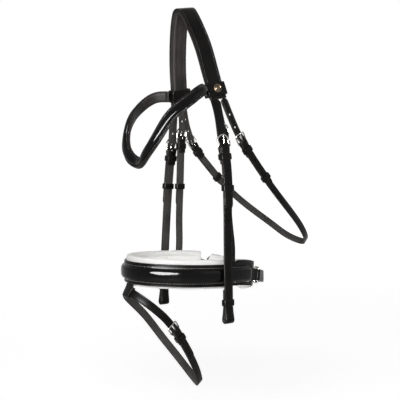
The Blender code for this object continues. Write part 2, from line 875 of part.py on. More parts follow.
def hanger_foot():
    """Where the hangers tuck in between the noseband's leather and its padding."""
    share = (NOSE_CENTRE_X - HANGER_X * HANGER_FOOT_SHARE) / NOSE_REAR_LENGTH
    return turn_place(math.degrees(math.acos(share)))


HANGER_FOOT = hanger_foot()
HANGER_FOOT_LEVEL = -(BAND_LEATHER / 2 + GAP * 1.5 + LIGHT_LEATHER / 2)
PAD_TOP = NOSE_PAD_HEIGHT / 2 + NOSE_PAD_RAISE


def hanger_route(side):
    root = CROWN[side].place(CROWN_END + SWING_GAP, HANGER_LEVEL)
    points = [root] + side_points(HANGER_SHARES, HANGER_X, HANGER_SPREAD, NOSE_DROP, side)
    top = NOSE[side].place(HANGER_FOOT, HANGER_FOOT_LEVEL, PAD_TOP + FOLD_TAPER)
    foot = NOSE[side].place(HANGER_FOOT, HANGER_FOOT_LEVEL, PAD_TOP - HANGER_TUCK)
    turned_wide = NOSE[side].axes(HANGER_FOOT)[0]

    def wide(point, along):
        share = (point.z - root.z) / (top.z - root.z)
        return CROWN_WIDE.lerp(turned_wide, min(max(share, 0.0), 1.0))

    return Route(points + [top, (top + foot) / 2, foot], wide, side)


def throat_route(side):
    root = CROWN[side].place(CROWN_END + SWING_GAP, 0.0, THROAT_ACROSS)
    lead = Vector((CROWN_LEAN + THROAT_LEAD_REACH, side * THROAT_SPREAD,
                   -(CROWN_DROP + THROAT_LEAD_DROP)))
    points = [root, lead]
    points += side_points(THROAT_SHARES, THROAT_REACH, THROAT_SPREAD, THROAT_DROP, side)
    mirror = [flipped(point) for point in reversed(points[:-1])]
    fore, aft = points[1], points[-1]
    return Route(points + mirror, Vector((fore.z - aft.z, 0, aft.x - fore.x)), side)


FLASH_ROOT = Vector((NOSE_CENTRE_X - NOSE_BASE_LENGTH, 0, -NOSE_DROP - NOSE_BAND_HEIGHT / 2))
FLASH_WALL = LIGHT_LEATHER / 2 + GAP * 2.5 + FLASH_LOOP_LEATHER / 2
FLASH_EDGE = FLASH_WIDTH / 2 + GAP * 3 + FLASH_LOOP_LEATHER / 2


def flash_route():
    """The flash strap's loop: from its front down the near leg and back up the far leg."""
    tilt = math.radians(FLASH_FRONT_TILT)
    upward = Vector((math.sin(tilt), 0, math.cos(tilt)))
    forward = Vector((-math.cos(tilt), 0, math.sin(tilt)))
    front = FLASH_ROOT - upward * (FLASH_EDGE + FLASH_TAB) - forward * FLASH_WALL
    near = [front] + [
        front + Vector((FLASH_REACH * x, -FLASH_SPREAD * y, -FLASH_DROP * z))
        for x, y, z in FLASH_SHARES
    ]
    loop = near + [flipped(point) for point in reversed(near[:-1])]
    lowered = Vector((FLASH_DROP, 0, FLASH_REACH)).normalized()

    def wide(point, along):
        share = (front.z - point.z) / (FLASH_DROP / 2)
        return upward.lerp(lowered, min(max(share, 0.0), 1.0))

    return Route(loop, wide, -1, closed=True)


def brow_route():
    """The browband's line from the left loop round the forehead to the right loop."""
    s = brow_loop_place()
    loop = CROWN[1].place(s)
    wall = CROWN_WIDTH / 2 + LOOP_PLAY + LOOP_LEATHER + BROW_START
    start = CROWN[1].place(s, 0.0, -wall)
    upright = -CROWN[1].axes(s)[0]
    points = [start] + [
        Vector((loop.x - BROW_REACH * x, BROW_SPREAD * y, loop.z - BROW_DIP * z))
        for x, y, z in BROW_SHARES
    ]

    def wide(point, along):
        lean = BROW_LEAN_SHARE * max(0.0, 1 - abs(point.y) / BROW_SPREAD)
        facing = Vector((point.x - BROW_AXIS, point.y, 0)).normalized() + UPWARD * lean
        share = min(max((start.x - point.x) / (BROW_REACH / 3), 0.0), 1.0)
        first = upright if point.y > 0 else flipped(upright)
        return first.lerp(along.cross(facing).normalized(), share)

    return Route(both_sides(points[::-1]), wide)


def brow_loop_place():
    """Length along the crown where the browband's loop sits."""
    heights = CROWN[1].line[:, 2]
    half = len(heights) // 2
    return float(np.interp(BROW_LOOP_DROP, -heights[half:], CROWN[1].run[half:]))


CHEEK = {side: cheek_route(side) for side in (1, -1)}
HANGER = {side: hanger_route(side) for side in (1, -1)}
THROAT = {side: throat_route(side) for side in (1, -1)}
FLASH = flash_route()
BROW = brow_route()

CHEEK_BUCKLE = Buckle(CHEEK_BAR, CHEEK_FRAME_HALF, CHEEK_FRAME_HEIGHT, CHEEK_WIDTH, STRAP_LEATHER,
                      billet=BILLET_LEATHER, round_top=True)
HANGER_BUCKLE = Buckle(HANGER_BAR, HANGER_FRAME_HALF, HANGER_FRAME_HEIGHT, HANGER_WIDTH,
                       LIGHT_LEATHER, round_top=True)
THROAT_BUCKLE = Buckle(THROAT_BAR, THROAT_FRAME_HALF, THROAT_FRAME_HEIGHT, THROAT_WIDTH,
                       LIGHT_LEATHER)
FLASH_BUCKLE = Buckle(FLASH_BAR, FLASH_FRAME_HALF, FLASH_FRAME_HEIGHT, FLASH_WIDTH, LIGHT_LEATHER)

SIDES = (("left", -1), ("right", 1))


# Headpiece
def build_headpiece():
    route = CROWN[1]
    middle = route.length / 2
    marks = spaced(0.0, middle, CROWN_SPACING) + spaced(middle, route.length, CROWN_SPACING)[1:]
    rows = [(route.place(s), route.axes(s)[1] * CROWN_WIDTH / 2) for s in marks]
    ribbon("crown_leather", rows, CROWN_LEATHER, BLACK_LEATHER)

    def depth(s):
        share = abs(s - middle) / middle
        return CROWN_PAD_DEPTH + (CROWN_PAD_END_DEPTH - CROWN_PAD_DEPTH) * share * share

    padding = padded_form("crown_padding", route, marks, CROWN_PAD_WIDTH / 2, depth,
                          -(CROWN_LEATHER / 2 + GAP), -1, SOFT_GREY_LEATHER, None)
    close_ends(padding)


def close_ends(piece):
    """Closes the two square-cut ends of a moulding."""
    sheet = bmesh.new()
    sheet.from_mesh(piece.data)
    rim = [edge for edge in sheet.edges if edge.is_boundary]
    bmesh.ops.holes_fill(sheet, edges=rim, sides=len(rim))
    bmesh.ops.recalc_face_normals(sheet, faces=sheet.faces)
    sheet.to_mesh(piece.data)
    sheet.free()
    piece.data.set_sharp_from_angle(angle=math.radians(50))


# Browband
def build_browband():
    s = brow_loop_place()
    centre = CROWN[1].place(s)
    tilt = joint_empty("browband_tilt", (centre.x, 0, centre.z))
    low = -(CROWN_LEATHER / 2 + GAP + CROWN_PAD_DEPTH * 0.72)
    face = CROWN_LEATHER / 2 + LOOP_PLAY + LOOP_LEATHER + GAP
    profile = [(STUD_RADIUS * x, STUD_HEIGHT * y) for x, y in STUD_SHARES]
    for word, side in SIDES:
        place = CROWN[side].place
        band("browband_loop_" + word, place, s, BROW_LOOP_HEIGHT, CROWN_WIDTH / 2, low,
             CROWN_LEATHER / 2, tilt, LOOP_LEATHER, LOOP_PLAY)
        matrix = frame_matrix(place(s, face), CROWN[side].axes(s), (1, 1, 1))
        turned("browband_stud_" + word, profile, matrix, BRIGHT_STEEL, tilt)

    route = BROW
    marks = shared_marks(BROW_INSET, route.length - BROW_INSET, BROW_END, BROW_SPACING)
    rows = [(route.place(s), route.axes(s)[1] * BROW_WIDTH / 2) for s in [0.0] + marks + [route.length]]
    ribbon("browband_base", rows, BROW_LEATHER, BLACK_LEATHER, tilt, lanes=4)
    level = BROW_LEATHER / 2 + GAP * 2
    padded_form("browband_roll", route, marks, BROW_ROLL_WIDTH / 2, BROW_ROLL_DEPTH, level, 1,
                PATENT_LEATHER, tilt, BROW_END, ROLL_SHARES)
    padded_form("browband_lining", route, marks, BROW_LINING_WIDTH / 2, BROW_LINING_DEPTH, -level,
                -1, SOFT_GREY_LEATHER, tilt, BROW_END)


# Cheekpieces
def build_cheekpiece(word, side):
    route = CHEEK[side]
    buckle = CHEEK_BUCKLE
    seat = Seat(route, CHEEK_HEEL)
    half = CHEEK_WIDTH / 2
    hinge = CROWN[side].place(CROWN_END + ROOT_GAP, BILLET_LEATHER / 2, CHEEK_ACROSS)
    swing = joint_empty("cheekpiece_swing_" + word, hinge)

    pairs = buckle.lead_in(-CHEEK_HEEL) + buckle.billet_pairs(CHEEK_TIP)
    rows = seat_rows(seat, pairs, half) + strap_tip(seat, CHEEK_TIP, buckle.lie, half)
    billet = ribbon("cheek_billet_" + word, rows, BILLET_LEATHER, BLACK_LEATHER, swing)
    billet_holes(billet, "cheek_billet_holes_" + word, buckle, seat, 1, 2)

    eye = Seat(route, route.length - BIT_EYE, -1)
    top = fold_pairs(buckle.bar, STRAP_LEATHER, FOLD_LENGTH, FOLD_TAPER)
    foot = fold_pairs(BIT_EYE, STRAP_LEATHER, BIT_FOLD, BIT_TAPER)
    run = spaced(CHEEK_HEEL + FOLD_TAPER, eye.heel - BIT_TAPER)[1:-1]
    rows = seat_rows(seat, top, half)
    rows += [(route.place(s), route.axes(s)[1] * half) for s in run]
    rows += seat_rows(eye, foot[::-1], half)
    strap = ribbon("cheek_strap_" + word, rows, STRAP_LEATHER, BLACK_LEATHER, swing)
    tongue_slot(strap, "cheek_tongue_slot_" + word, buckle, seat)
    stud_at = HOOK_STUD_PLACE
    back = -(STRAP_LEATHER + GAP)
    hole = (HOOK_STUD_NECK + GAP, HOOK_STUD_NECK + GAP, STRAP_LEATHER / 2 + GAP / 2)
    cut(strap, "hook_stud_hole_" + word, pins=[(eye.place(stud_at, back), eye.axes(stud_at), hole)])

    buckle_frame("cheek_buckle_frame_" + word, buckle, seat, swing)
    fixed_keeper("cheek_keeper_" + word, buckle, seat, half, swing)
    low = back - STRAP_LEATHER / 2
    band("bit_keeper_" + word, eye.place, BIT_KEEPER, KEEPER_HEIGHT, half, low, STRAP_LEATHER / 2,
         swing)

    neck = STRAP_LEATHER + GAP * 2
    profile = [(0.0, 0.0), (HOOK_STUD_NECK, 0.0), (HOOK_STUD_NECK, neck), (HOOK_STUD_RADIUS, neck),
               (HOOK_STUD_RADIUS, neck + HOOK_STUD_HEAD * 0.4),
               (HOOK_STUD_RADIUS * 0.6, neck + HOOK_STUD_HEAD * 0.9), (0.0, neck + HOOK_STUD_HEAD)]
    along, across, out = eye.axes(stud_at)
    base = eye.place(stud_at, -STRAP_LEATHER / 2 - GAP)
    matrix = frame_matrix(base, (along, across, -out), (1, 1, 1))
    turned("hook_stud_" + word, profile, matrix, BRIGHT_STEEL, swing)

    pivot = joint_empty("cheek_tongue_pivot_" + word, seat.place(0.0, buckle.sink), swing)
    buckle_tongue("cheek_buckle_tongue_" + word, buckle, seat, pivot)
    slide = joint_empty("cheek_runner_slide_" + word, seat.place(CHEEK_RUNNER), swing)
    runner("cheek_runner_" + word, buckle, seat, half, CHEEK_RUNNER, slide)


# Noseband hangers
def build_hanger(word, side, noseband):
    route = HANGER[side]
    buckle = HANGER_BUCKLE
    seat = Seat(route, HANGER_HEEL)
    half = HANGER_WIDTH / 2
    rows = rounded_start(route, 0.0, half, half)
    pairs = buckle.lead_in(half - HANGER_HEEL)[1:] + buckle.billet_pairs(HANGER_TIP)
    rows += seat_rows(seat, pairs, half) + strap_tip(seat, HANGER_TIP, buckle.lie, half)
    billet = ribbon("hanger_billet_" + word, rows, LIGHT_LEATHER, BLACK_LEATHER, noseband)
    billet_holes(billet, "hanger_billet_holes_" + word, buckle, seat, 1, 2)

    rows = seat_rows(seat, fold_pairs(buckle.bar, LIGHT_LEATHER, FOLD_LENGTH, FOLD_TAPER), half)
    run = spaced(HANGER_HEEL + FOLD_TAPER, route.length)[1:]
    rows += [(route.place(s), route.axes(s)[1] * half) for s in run]
    strap = ribbon("hanger_strap_" + word, rows, LIGHT_LEATHER, BLACK_LEATHER, noseband)
    tongue_slot(strap, "hanger_tongue_slot_" + word, buckle, seat)

    buckle_frame("hanger_buckle_frame_" + word, buckle, seat, noseband)
    sewn_keeper(strap, "hanger_keeper_" + word, buckle, seat, half)
    pivot = joint_empty("hanger_tongue_pivot_" + word, seat.place(0.0, buckle.sink), noseband)
    buckle_tongue("hanger_buckle_tongue_" + word, buckle, seat, pivot)
    slide = joint_empty("hanger_runner_slide_" + word, seat.place(HANGER_RUNNER), noseband)
    runner("hanger_runner_" + word, buckle, seat, half, HANGER_RUNNER, slide)


# Noseband
def band_half(s, end):
    """Half height of the noseband's leather: full along the sides, narrow at its rings."""
    share = min(max((end - abs(s - NOSE[1].length / 2)) / NOSE_NARROWING, 0.0), 1.0)
    share = share * share * (3 - 2 * share)
    return (CRANK_WIDTH + (NOSE_BAND_HEIGHT - CRANK_WIDTH) * share) / 2


def build_noseband(noseband):
    route = NOSE[1]
    end = turn_place(NOSE_END_TURN)
    ring = Seat(route, end, -1)
    fold = fold_pairs(CRANK_RING_WIRE, BAND_LEATHER, FOLD_LENGTH / 2, FOLD_TAPER)
    reach = turn_place(NOSE_PAD_TURN)
    pad_start = route.length - turn_place(NOSE_PAD_LEFT_TURN)
    pad_marks = shared_marks(pad_start, reach, NOSE_PAD_END, BAND_SPACING, CHANNEL_SHARES)
    roll_marks = shared_marks(route.length - reach, reach, NOSE_PAD_END, BAND_SPACING)
    marks = [s for s in roll_marks if s < pad_start - MARK_SPACE] + pad_marks
    right = spaced(reach, end - FOLD_TAPER, BAND_SPACING)[1:-1]
    run = [route.length - s for s in reversed(right)] + marks + right
    last = end - FOLD_TAPER - route.length / 2
    folded = seat_rows(ring, fold[::-1], CRANK_WIDTH / 2)
    rows = [(route.place(s), route.axes(s)[1] * band_half(s, last)) for s in run]
    ribbon("noseband_base", mirrored(folded) + rows + folded, BAND_LEATHER, BLACK_LEATHER, noseband)

    level = BAND_LEATHER / 2 + GAP
    padded_form("noseband_roll", route, marks, NOSE_ROLL_WIDTH / 2, NOSE_ROLL_DEPTH, level, 1,
                PATENT_LEATHER, noseband, NOSE_PAD_END, ROLL_SHARES)
    padding = padded_form("noseband_padding", route, pad_marks, NOSE_PAD_HEIGHT / 2, NOSE_PAD_DEPTH,
                          -level, -1, WHITE_PADDING, noseband, NOSE_PAD_END,
                          channels=CHANNEL_SHARES, raised=NOSE_PAD_RAISE)
    blocks = []
    for word, side in SIDES:
        nose = NOSE[side]
        deep = LIGHT_LEATHER / 2 + SLOT_PLAY
        lift = PAD_TOP - HANGER_TUCK - SLOT_PLAY + (HANGER_TUCK + CUT_OVERRUN) / 2
        centre = nose.place(HANGER_FOOT, HANGER_FOOT_LEVEL + CUT_OVERRUN / 2, lift)
        halves = (HANGER_WIDTH / 2 + SLOT_PLAY, (HANGER_TUCK + CUT_OVERRUN) / 2,
                  deep + CUT_OVERRUN / 2)
        blocks.append((centre, nose.axes(HANGER_FOOT), halves))
    cut(padding, "hanger_pockets", blocks=blocks)


# Crank
CRANK_LEVEL = -(BAND_LEATHER + GAP) / 2
CRANK_REACH = CRANK_RING_WIRE + GAP + CRANK_LEATHER / 2
CRANK_INNER = CRANK_LEVEL - CRANK_REACH
CHIN_LEVEL = CRANK_LEVEL - CRANK_RING_WIRE - GAP - BAND_LEATHER - GAP - CHIN_LEATHER / 2
CRANK_OUTER = CRANK_INNER + CRANK_LEATHER + GAP * 3 + KEEPER_LEATHER
CRANK_SINK = CRANK_OUTER + CRANK_BAR + GAP + CRANK_LEATHER / 2
CRANK_BUCKLE = Buckle(CRANK_BAR, CRANK_FRAME_HALF, CRANK_FRAME_HEIGHT, CRANK_WIDTH, CRANK_LEATHER,
                      rise=0.0, sink=CRANK_SINK, pile=CRANK_OUTER + CRANK_LEATHER + GAP)


def half_turn(s, low, high, sign):
    """(s, out) round a bar from the low layer to the high one, bulging along sign."""
    middle, radius = (low + high) / 2, (high - low) / 2
    pairs = []
    for k in range(FOLD_STEPS + 1):
        turn = math.pi * k / FOLD_STEPS
        pairs.append((s + sign * radius * math.sin(turn), middle - radius * math.cos(turn)))
    return pairs


def build_crank(noseband):
    route = NOSE[1]
    half = CRANK_WIDTH / 2
    right_end, left_end = turn_place(NOSE_END_TURN), turn_place(360 - NOSE_END_TURN)
    far, near = right_end + CRANK_RING_LENGTH, left_end - CRANK_RING_LENGTH
    heel = far + CRANK_HEEL
    seat = Seat(route, heel, -1)
    buckle = CRANK_BUCKLE

    for word, start, sign in (("right", right_end, 1), ("left", left_end, -1)):
        wire("crank_ring_" + word, ring_points(route, start, sign), CRANK_RING_WIRE, BRIGHT_STEEL,
             noseband, closed=True)

    front = CRANK_OUTER + CRANK_LEATHER + GAP
    flare = CRANK_LEVEL + CRANK_REACH
    crest = CRANK_OUTER + 2 * buckle.reach
    pairs = [(s, CRANK_OUTER) for s in spaced(far + FOLD_TAPER, heel - FOLD_TAPER, CRANK_SPACING)]
    pairs += half_turn(heel, CRANK_OUTER, crest, 1)
    pairs += [(heel - FOLD_TAPER / 2, (front + crest) / 2)]
    pairs += [(s, front) for s in spaced(heel - FOLD_TAPER, far + FOLD_TAPER / 2, CRANK_SPACING)]
    pairs += half_turn(far, CRANK_INNER, flare, -1)[::-1]
    pairs += [(s, CRANK_INNER) for s in spaced(far, near, CRANK_SPACING)[1:-1]]
    pairs += half_turn(near, CRANK_INNER, flare, 1)
    pairs += [(near - FOLD_TAPER / 2, (flare + buckle.under) / 2)]
    billet = buckle.billet_pairs(CRANK_TIP)
    pairs += [(near - FOLD_TAPER, buckle.under)]
    run = spaced(near - FOLD_TAPER, heel + buckle.height + FOLD_TAPER, CRANK_SPACING)[1:-1]
    pairs += [(s, buckle.under) for s in run]
    pairs += [(heel - d, out) for d, out in billet]
    rows = [(route.place(s, out), route.axes(s)[1] * half) for s, out in pairs]
    rows += strap_tip(seat, CRANK_TIP, buckle.lie, half)
    strap = ribbon("crank_strap", rows, CRANK_LEATHER, BLACK_LEATHER, noseband)
    tongue_slot(strap, "crank_tongue_slot", buckle, seat, CRANK_OUTER - CRANK_LEATHER,
                buckle.fold_top)
    billet_holes(strap, "crank_billet_holes", buckle, seat, 0, 0)

    buckle_frame("crank_buckle_frame", buckle, seat, noseband)
    low = CRANK_OUTER - CRANK_LEATHER / 2
    high = buckle.lie + buckle.billet / 2
    band("crank_keeper", seat.place, KEEPER_PLACE, KEEPER_HEIGHT, half, low, high, noseband,
         play=GAP * 1.5)
    pivot = joint_empty("crank_tongue_pivot", seat.place(0.0, buckle.sink), noseband)
    buckle_tongue("crank_buckle_tongue", buckle, seat, pivot)

    build_chin_pad(route, right_end, left_end, noseband)


def build_chin_pad(route, right_end, left_end, noseband):
    """The jaw pad: its ends lie in the noseband's ends, and the strap bows out behind it."""
    def level(s):
        share = min(max((s - right_end) / (left_end - right_end), 0.0), 1.0)
        return CHIN_LEVEL - CHIN_STAND * math.sin(math.pi * share) ** 1.25

    start, end = turn_place(CHIN_RIGHT_TURN), turn_place(CHIN_LEFT_TURN)
    marks = shared_marks(start, end, CHIN_END, BAND_SPACING)
    rows = []
    for s in [marks[0] - CHIN_RIM] + marks + [marks[-1] + CHIN_RIM]:
        inset = min(s - marks[0], marks[-1] - s) + CHIN_RIM
        width = float(np.interp(inset / (CHIN_RIM + CHIN_END), *zip(*CHIN_END_SHARES)))
        rows.append((route.place(s, level(s), CHIN_RAISE), route.axes(s)[1] * CHIN_HEIGHT / 2 * width))
    ribbon("chin_backing", rows, CHIN_LEATHER, BLACK_LEATHER, noseband, lanes=4)
    padded_form("chin_padding", route, marks, CHIN_PAD_HEIGHT / 2, CHIN_PAD_DEPTH,
                lambda s: level(s) - CHIN_LEATHER / 2 - GAP * 2, -1, WHITE_PADDING, noseband,
                CHIN_END, raised=CHIN_RAISE)


def ring_points(route, start, sign):
    """Outline of a crank ring, from the bar in the noseband's fold to the strap's bar."""
    half, length, corner = CRANK_RING_HALF, CRANK_RING_LENGTH, FRAME_CORNER
    outline = [(corner - half, 0.0), (half - corner, 0.0), (half, corner)]
    outline += [(half, length - corner), (half - corner, length)]
    outline += [(corner - half, length), (-half, length - corner), (-half, corner)]
    return [route.place(start + sign * d, CRANK_LEVEL, across) for across, d in outline]


# Flash
def build_flash(flash):
    route = FLASH
    buckle = FLASH_BUCKLE
    seat = Seat(route, FLASH_HEEL)
    half = FLASH_WIDTH / 2
    rows = seat_rows(seat, fold_pairs(buckle.bar, LIGHT_LEATHER, FOLD_LENGTH, FOLD_TAPER), half)
    lap = route.length
    front = lap - FLASH_HEEL
    loop = spaced(front - FLASH_LOOP_WIDTH / 2, front + FLASH_LOOP_WIDTH / 2, FLASH_LOOP_WIDTH / 4)
    run = spaced(FOLD_TAPER, loop[0])[1:-1] + loop
    run += spaced(loop[-1], lap - buckle.height - FOLD_TAPER)[1:-1]
    rows += seat_rows(seat, [(d, 0.0) for d in run], half)
    billet = buckle.billet_pairs(FLASH_TIP)
    rows += seat_rows(seat, [(lap + d, out) for d, out in billet], half)
    rows += strap_tip(seat, FLASH_TIP, buckle.lie, half)
    strap = ribbon("flash_strap", rows, LIGHT_LEATHER, BLACK_LEATHER, flash)
    tongue_slot(strap, "flash_tongue_slot", buckle, seat, high=buckle.fold_top)
    billet_holes(strap, "flash_billet_holes", buckle, seat, 0, 1)
    buckle_frame("flash_buckle_frame", buckle, seat, flash)
    fixed_keeper("flash_keeper", buckle, seat, half, flash)
    pivot = joint_empty("flash_tongue_pivot", seat.place(0.0, buckle.sink), flash)
    buckle_tongue("flash_buckle_tongue", buckle, seat, pivot)

    end, wall = FLASH_EDGE, FLASH_WALL
    path = [(end, wall), (-end * 0.8, wall), (-end, wall * 0.4), (-end, -wall * 0.4),
            (-end * 0.8, -wall), (end * 0.8, -wall), (end, GAP - FLASH_LOOP_LEATHER / 2)]
    sheet = bmesh.new()
    bmesh.ops.create_grid(sheet, x_segments=4, y_segments=len(path), size=1.0)
    for vert in sheet.verts:
        step = round((vert.co.y + 1) / 2 * len(path))
        s = vert.co.x * FLASH_LOOP_WIDTH / 2
        if step == 0:
            edge = -NOSE_BAND_HEIGHT / 2 - SWING_GAP
            vert.co = NOSE[-1].place(NOSE[-1].length / 2 + s, 0.0, edge)
        else:
            across, out = path[step - 1]
            vert.co = route.place(s, out, across)
    piece = make_object("flash_loop", mesh_from("flash_loop", sheet), BLACK_LEATHER, flash)
    thicken(piece, FLASH_LOOP_LEATHER)


# Throatlash
def build_throatlash(throatlash):
    route = THROAT[1]
    buckle = THROAT_BUCKLE
    half = THROAT_WIDTH / 2
    seat = Seat(route, THROAT_HEEL)
    middle = route.length / 2
    rows = seat_rows(seat, fold_pairs(buckle.bar, LIGHT_LEATHER, FOLD_LENGTH, FOLD_TAPER), half)
    run = spaced(THROAT_HEEL + FOLD_TAPER, middle)[1:]
    rows += [(route.place(s), route.axes(s)[1] * half) for s in run]
    strap = ribbon("throatlash_strap", rows + mirrored(rows)[1:], LIGHT_LEATHER, BLACK_LEATHER,
                   throatlash)
    for word, side in SIDES:
        own = Seat(THROAT[side], THROAT_HEEL)
        tongue_slot(strap, "throat_tongue_slot_" + word, buckle, own)
        sewn_keeper(strap, "throat_keeper_" + word, buckle, own, half)
        build_throat_side(word, THROAT[side], own, half, throatlash)


def build_throat_side(word, route, seat, half, throatlash):
    buckle = THROAT_BUCKLE
    rows = rounded_start(route, 0.0, half, half)
    pairs = buckle.lead_in(half - THROAT_HEEL)[1:] + buckle.billet_pairs(THROAT_TIP)
    rows += seat_rows(seat, pairs, half) + strap_tip(seat, THROAT_TIP, buckle.lie, half)
    billet = ribbon("throat_billet_" + word, rows, LIGHT_LEATHER, BLACK_LEATHER, throatlash)
    billet_holes(billet, "throat_billet_holes_" + word, buckle, seat, 2, 1)
    buckle_frame("throat_buckle_frame_" + word, buckle, seat, throatlash)
    pivot = joint_empty("throat_tongue_pivot_" + word, seat.place(0.0, buckle.sink), throatlash)
    buckle_tongue("throat_buckle_tongue_" + word, buckle, seat, pivot)
    slide = joint_empty("throat_runner_slide_" + word, seat.place(THROAT_RUNNER), throatlash)
    runner("throat_runner_" + word, buckle, seat, half, THROAT_RUNNER, slide)


def on_middle(point):
    return Vector((point.x, 0, point.z))


def build_bridle():
    build_headpiece()
    build_browband()
    for word, side in SIDES:
        build_cheekpiece(word, side)
    noseband = joint_empty("noseband_swing", on_middle(HANGER[1].place(HANGER_WIDTH / 2)))
    for word, side in SIDES:
        build_hanger(word, side, noseband)
    build_noseband(noseband)
    build_crank(noseband)
    hinge = FLASH_ROOT - Vector((0, 0, SWING_GAP + GAP + FLASH_LOOP_LEATHER / 2))
    build_flash(joint_empty("flash_swing", hinge, noseband))
    build_throatlash(joint_empty("throatlash_swing", on_middle(THROAT[1].place(THROAT_WIDTH / 2))))


build_bridle()
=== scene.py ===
# %% [markdown]
# # Anatomic bridle
# A bridle is a set of flat leather straps that carries a bit on a horse's head. This one is
# cut for comfort: a padded crown behind the ears, a browband that dips round the forehead, and
# a wide noseband of patent leather with a white pad inside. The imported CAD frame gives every
# place and every joint. This lesson makes a finer piece for each solid, on the same lines.

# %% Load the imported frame
import math

import bmesh
import bpy
import numpy as np
from mathutils import Matrix, Vector, noise


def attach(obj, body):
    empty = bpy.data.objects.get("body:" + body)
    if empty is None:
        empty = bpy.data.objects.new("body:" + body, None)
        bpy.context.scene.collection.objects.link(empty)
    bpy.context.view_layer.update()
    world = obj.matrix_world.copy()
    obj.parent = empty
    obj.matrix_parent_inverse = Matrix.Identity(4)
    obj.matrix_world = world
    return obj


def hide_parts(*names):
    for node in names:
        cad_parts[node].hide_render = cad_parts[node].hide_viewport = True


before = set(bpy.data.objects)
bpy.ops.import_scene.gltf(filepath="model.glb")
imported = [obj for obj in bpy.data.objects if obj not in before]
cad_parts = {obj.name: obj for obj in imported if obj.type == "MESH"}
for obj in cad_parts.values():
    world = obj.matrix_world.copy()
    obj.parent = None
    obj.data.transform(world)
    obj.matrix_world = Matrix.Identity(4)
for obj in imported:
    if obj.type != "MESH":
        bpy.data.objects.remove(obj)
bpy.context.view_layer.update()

# %% [markdown]
# ## Camera
# The photograph looks level at the bridle from its front left, 36 degrees round from the side.
# A fairly long lens keeps the far straps nearly as large as the near ones. The camera stays
# level and is shifted a little, because tilting it would make the hanging straps lean together.

# %% Place the camera
CAMERA_TURN = math.radians(-36)
CAMERA_DISTANCE = 1.10
CAMERA_TARGET = Vector((0.033, 0.0, -0.258))
camera_data = bpy.data.cameras.new("studio_camera")
camera_data.sensor_width = 36.0
camera_data.lens = 59.4
camera_data.shift_y = -0.07
camera = bpy.data.objects.new("studio_camera", camera_data)
bpy.context.scene.collection.objects.link(camera)
backward = Vector((math.sin(CAMERA_TURN), -math.cos(CAMERA_TURN), 0.0))
camera.location = CAMERA_TARGET + backward * CAMERA_DISTANCE
camera.rotation_euler = (math.pi / 2, 0.0, CAMERA_TURN)
bpy.context.scene.camera = camera
print("Camera at", tuple(round(value, 3) for value in camera.location))

# %% [markdown]
# ## Finishes
# A finish is a small network of nodes that ends in one shader. Colours are written as hex
# values, as a dye chart gives them, and one function turns them into the linear numbers that
# the shader counts in. One more function adds a node with its settings and its links.

# %% Colour and node helpers
def linear(code):
    """Turns a hex colour as the eye sees it into linear red, green, blue and alpha."""
    shares = [int(code[k:k + 2], 16) / 255 for k in (1, 3, 5)]
    light = [c / 12.92 if c <= 0.04045 else ((c + 0.055) / 1.055) ** 2.4 for c in shares]
    return (*light, 1.0)


def join(tree, node, links):
    """Links outputs to a node's sockets, which are given by name or by number."""
    for socket, output in dict(links).items():
        tree.links.new(output, node.inputs[socket])


def add_node(tree, kind, settings=(), links=()):
    """Adds a node, sets its sockets or settings by name, and links outputs to its sockets."""
    node = tree.nodes.new("ShaderNode" + kind)
    for name, value in dict(settings).items():
        if name in node.inputs:
            node.inputs[name].default_value = value
        else:
            setattr(node, name, value)
    join(tree, node, links)
    return node


def new_finish(name, colour, sockets=()):
    """Starts a finish: its material, node tree, shader and the piece's own coordinates."""
    material = bpy.data.materials.new(name)
    material.use_nodes = True
    tree = material.node_tree
    shader = tree.nodes["Principled BSDF"]
    for socket, value in {"Base Color": linear(colour), **dict(sockets)}.items():
        shader.inputs[socket].default_value = value
    return material, tree, shader, add_node(tree, "TexCoord").outputs["Object"]


def two_tones(tree, pattern, dark, light, low=0.35, high=0.65):
    """Runs a pattern through a ramp between two colours."""
    ramp = add_node(tree, "ValToRGB", links={"Fac": pattern})
    for stop, position, code in zip(ramp.color_ramp.elements, (low, high), (dark, light)):
        stop.position, stop.color = position, linear(code)
    return ramp.outputs["Color"]


def spread(tree, pattern, low, high, start=0.3, end=0.7):
    """Spreads a pattern's values over a range, such as a roughness from low to high."""
    ranged = add_node(tree, "MapRange", {"From Min": start, "From Max": end, "To Min": low,
                                         "To Max": high}, {"Value": pattern})
    return ranged.outputs["Result"]


def mottle(tree, shader, pattern, dark, light, roughness):
    """Lets a pattern change the surface's tone and its roughness."""
    join(tree, shader, {"Base Color": two_tones(tree, pattern, dark, light),
                        "Roughness": spread(tree, pattern, *roughness)})


print("Black dye in linear light:", tuple(round(c, 4) for c in linear("#12100f")))

# %% [markdown]
# ### Bridle leather
# The straps are vegetable tanned cowhide, dyed black, greased, and rolled smooth. The eye sees
# a fine pebbled grain, a slow change between a colder and a browner black, and edges that are
# rubbed with wax until they shine. Real grain is about half a millimetre across. It is drawn
# at 0.9 mm here, because a finer one wouldn't show. The strap's own map holds the length along
# the strap and the distance from its edge, both in metres, and the wax follows that distance.

# %% Finish of the grain side
GRAIN_SIZE = 0.0009
GRAIN_DEPTH = 0.00010
HIDE_PATCH = 0.035
WAXED_EDGE = 0.0010
PURE_BLACK_DYE, BROWN_BLACK_DYE, EDGE_WAX = "#070606", "#110f0e", "#25211f"


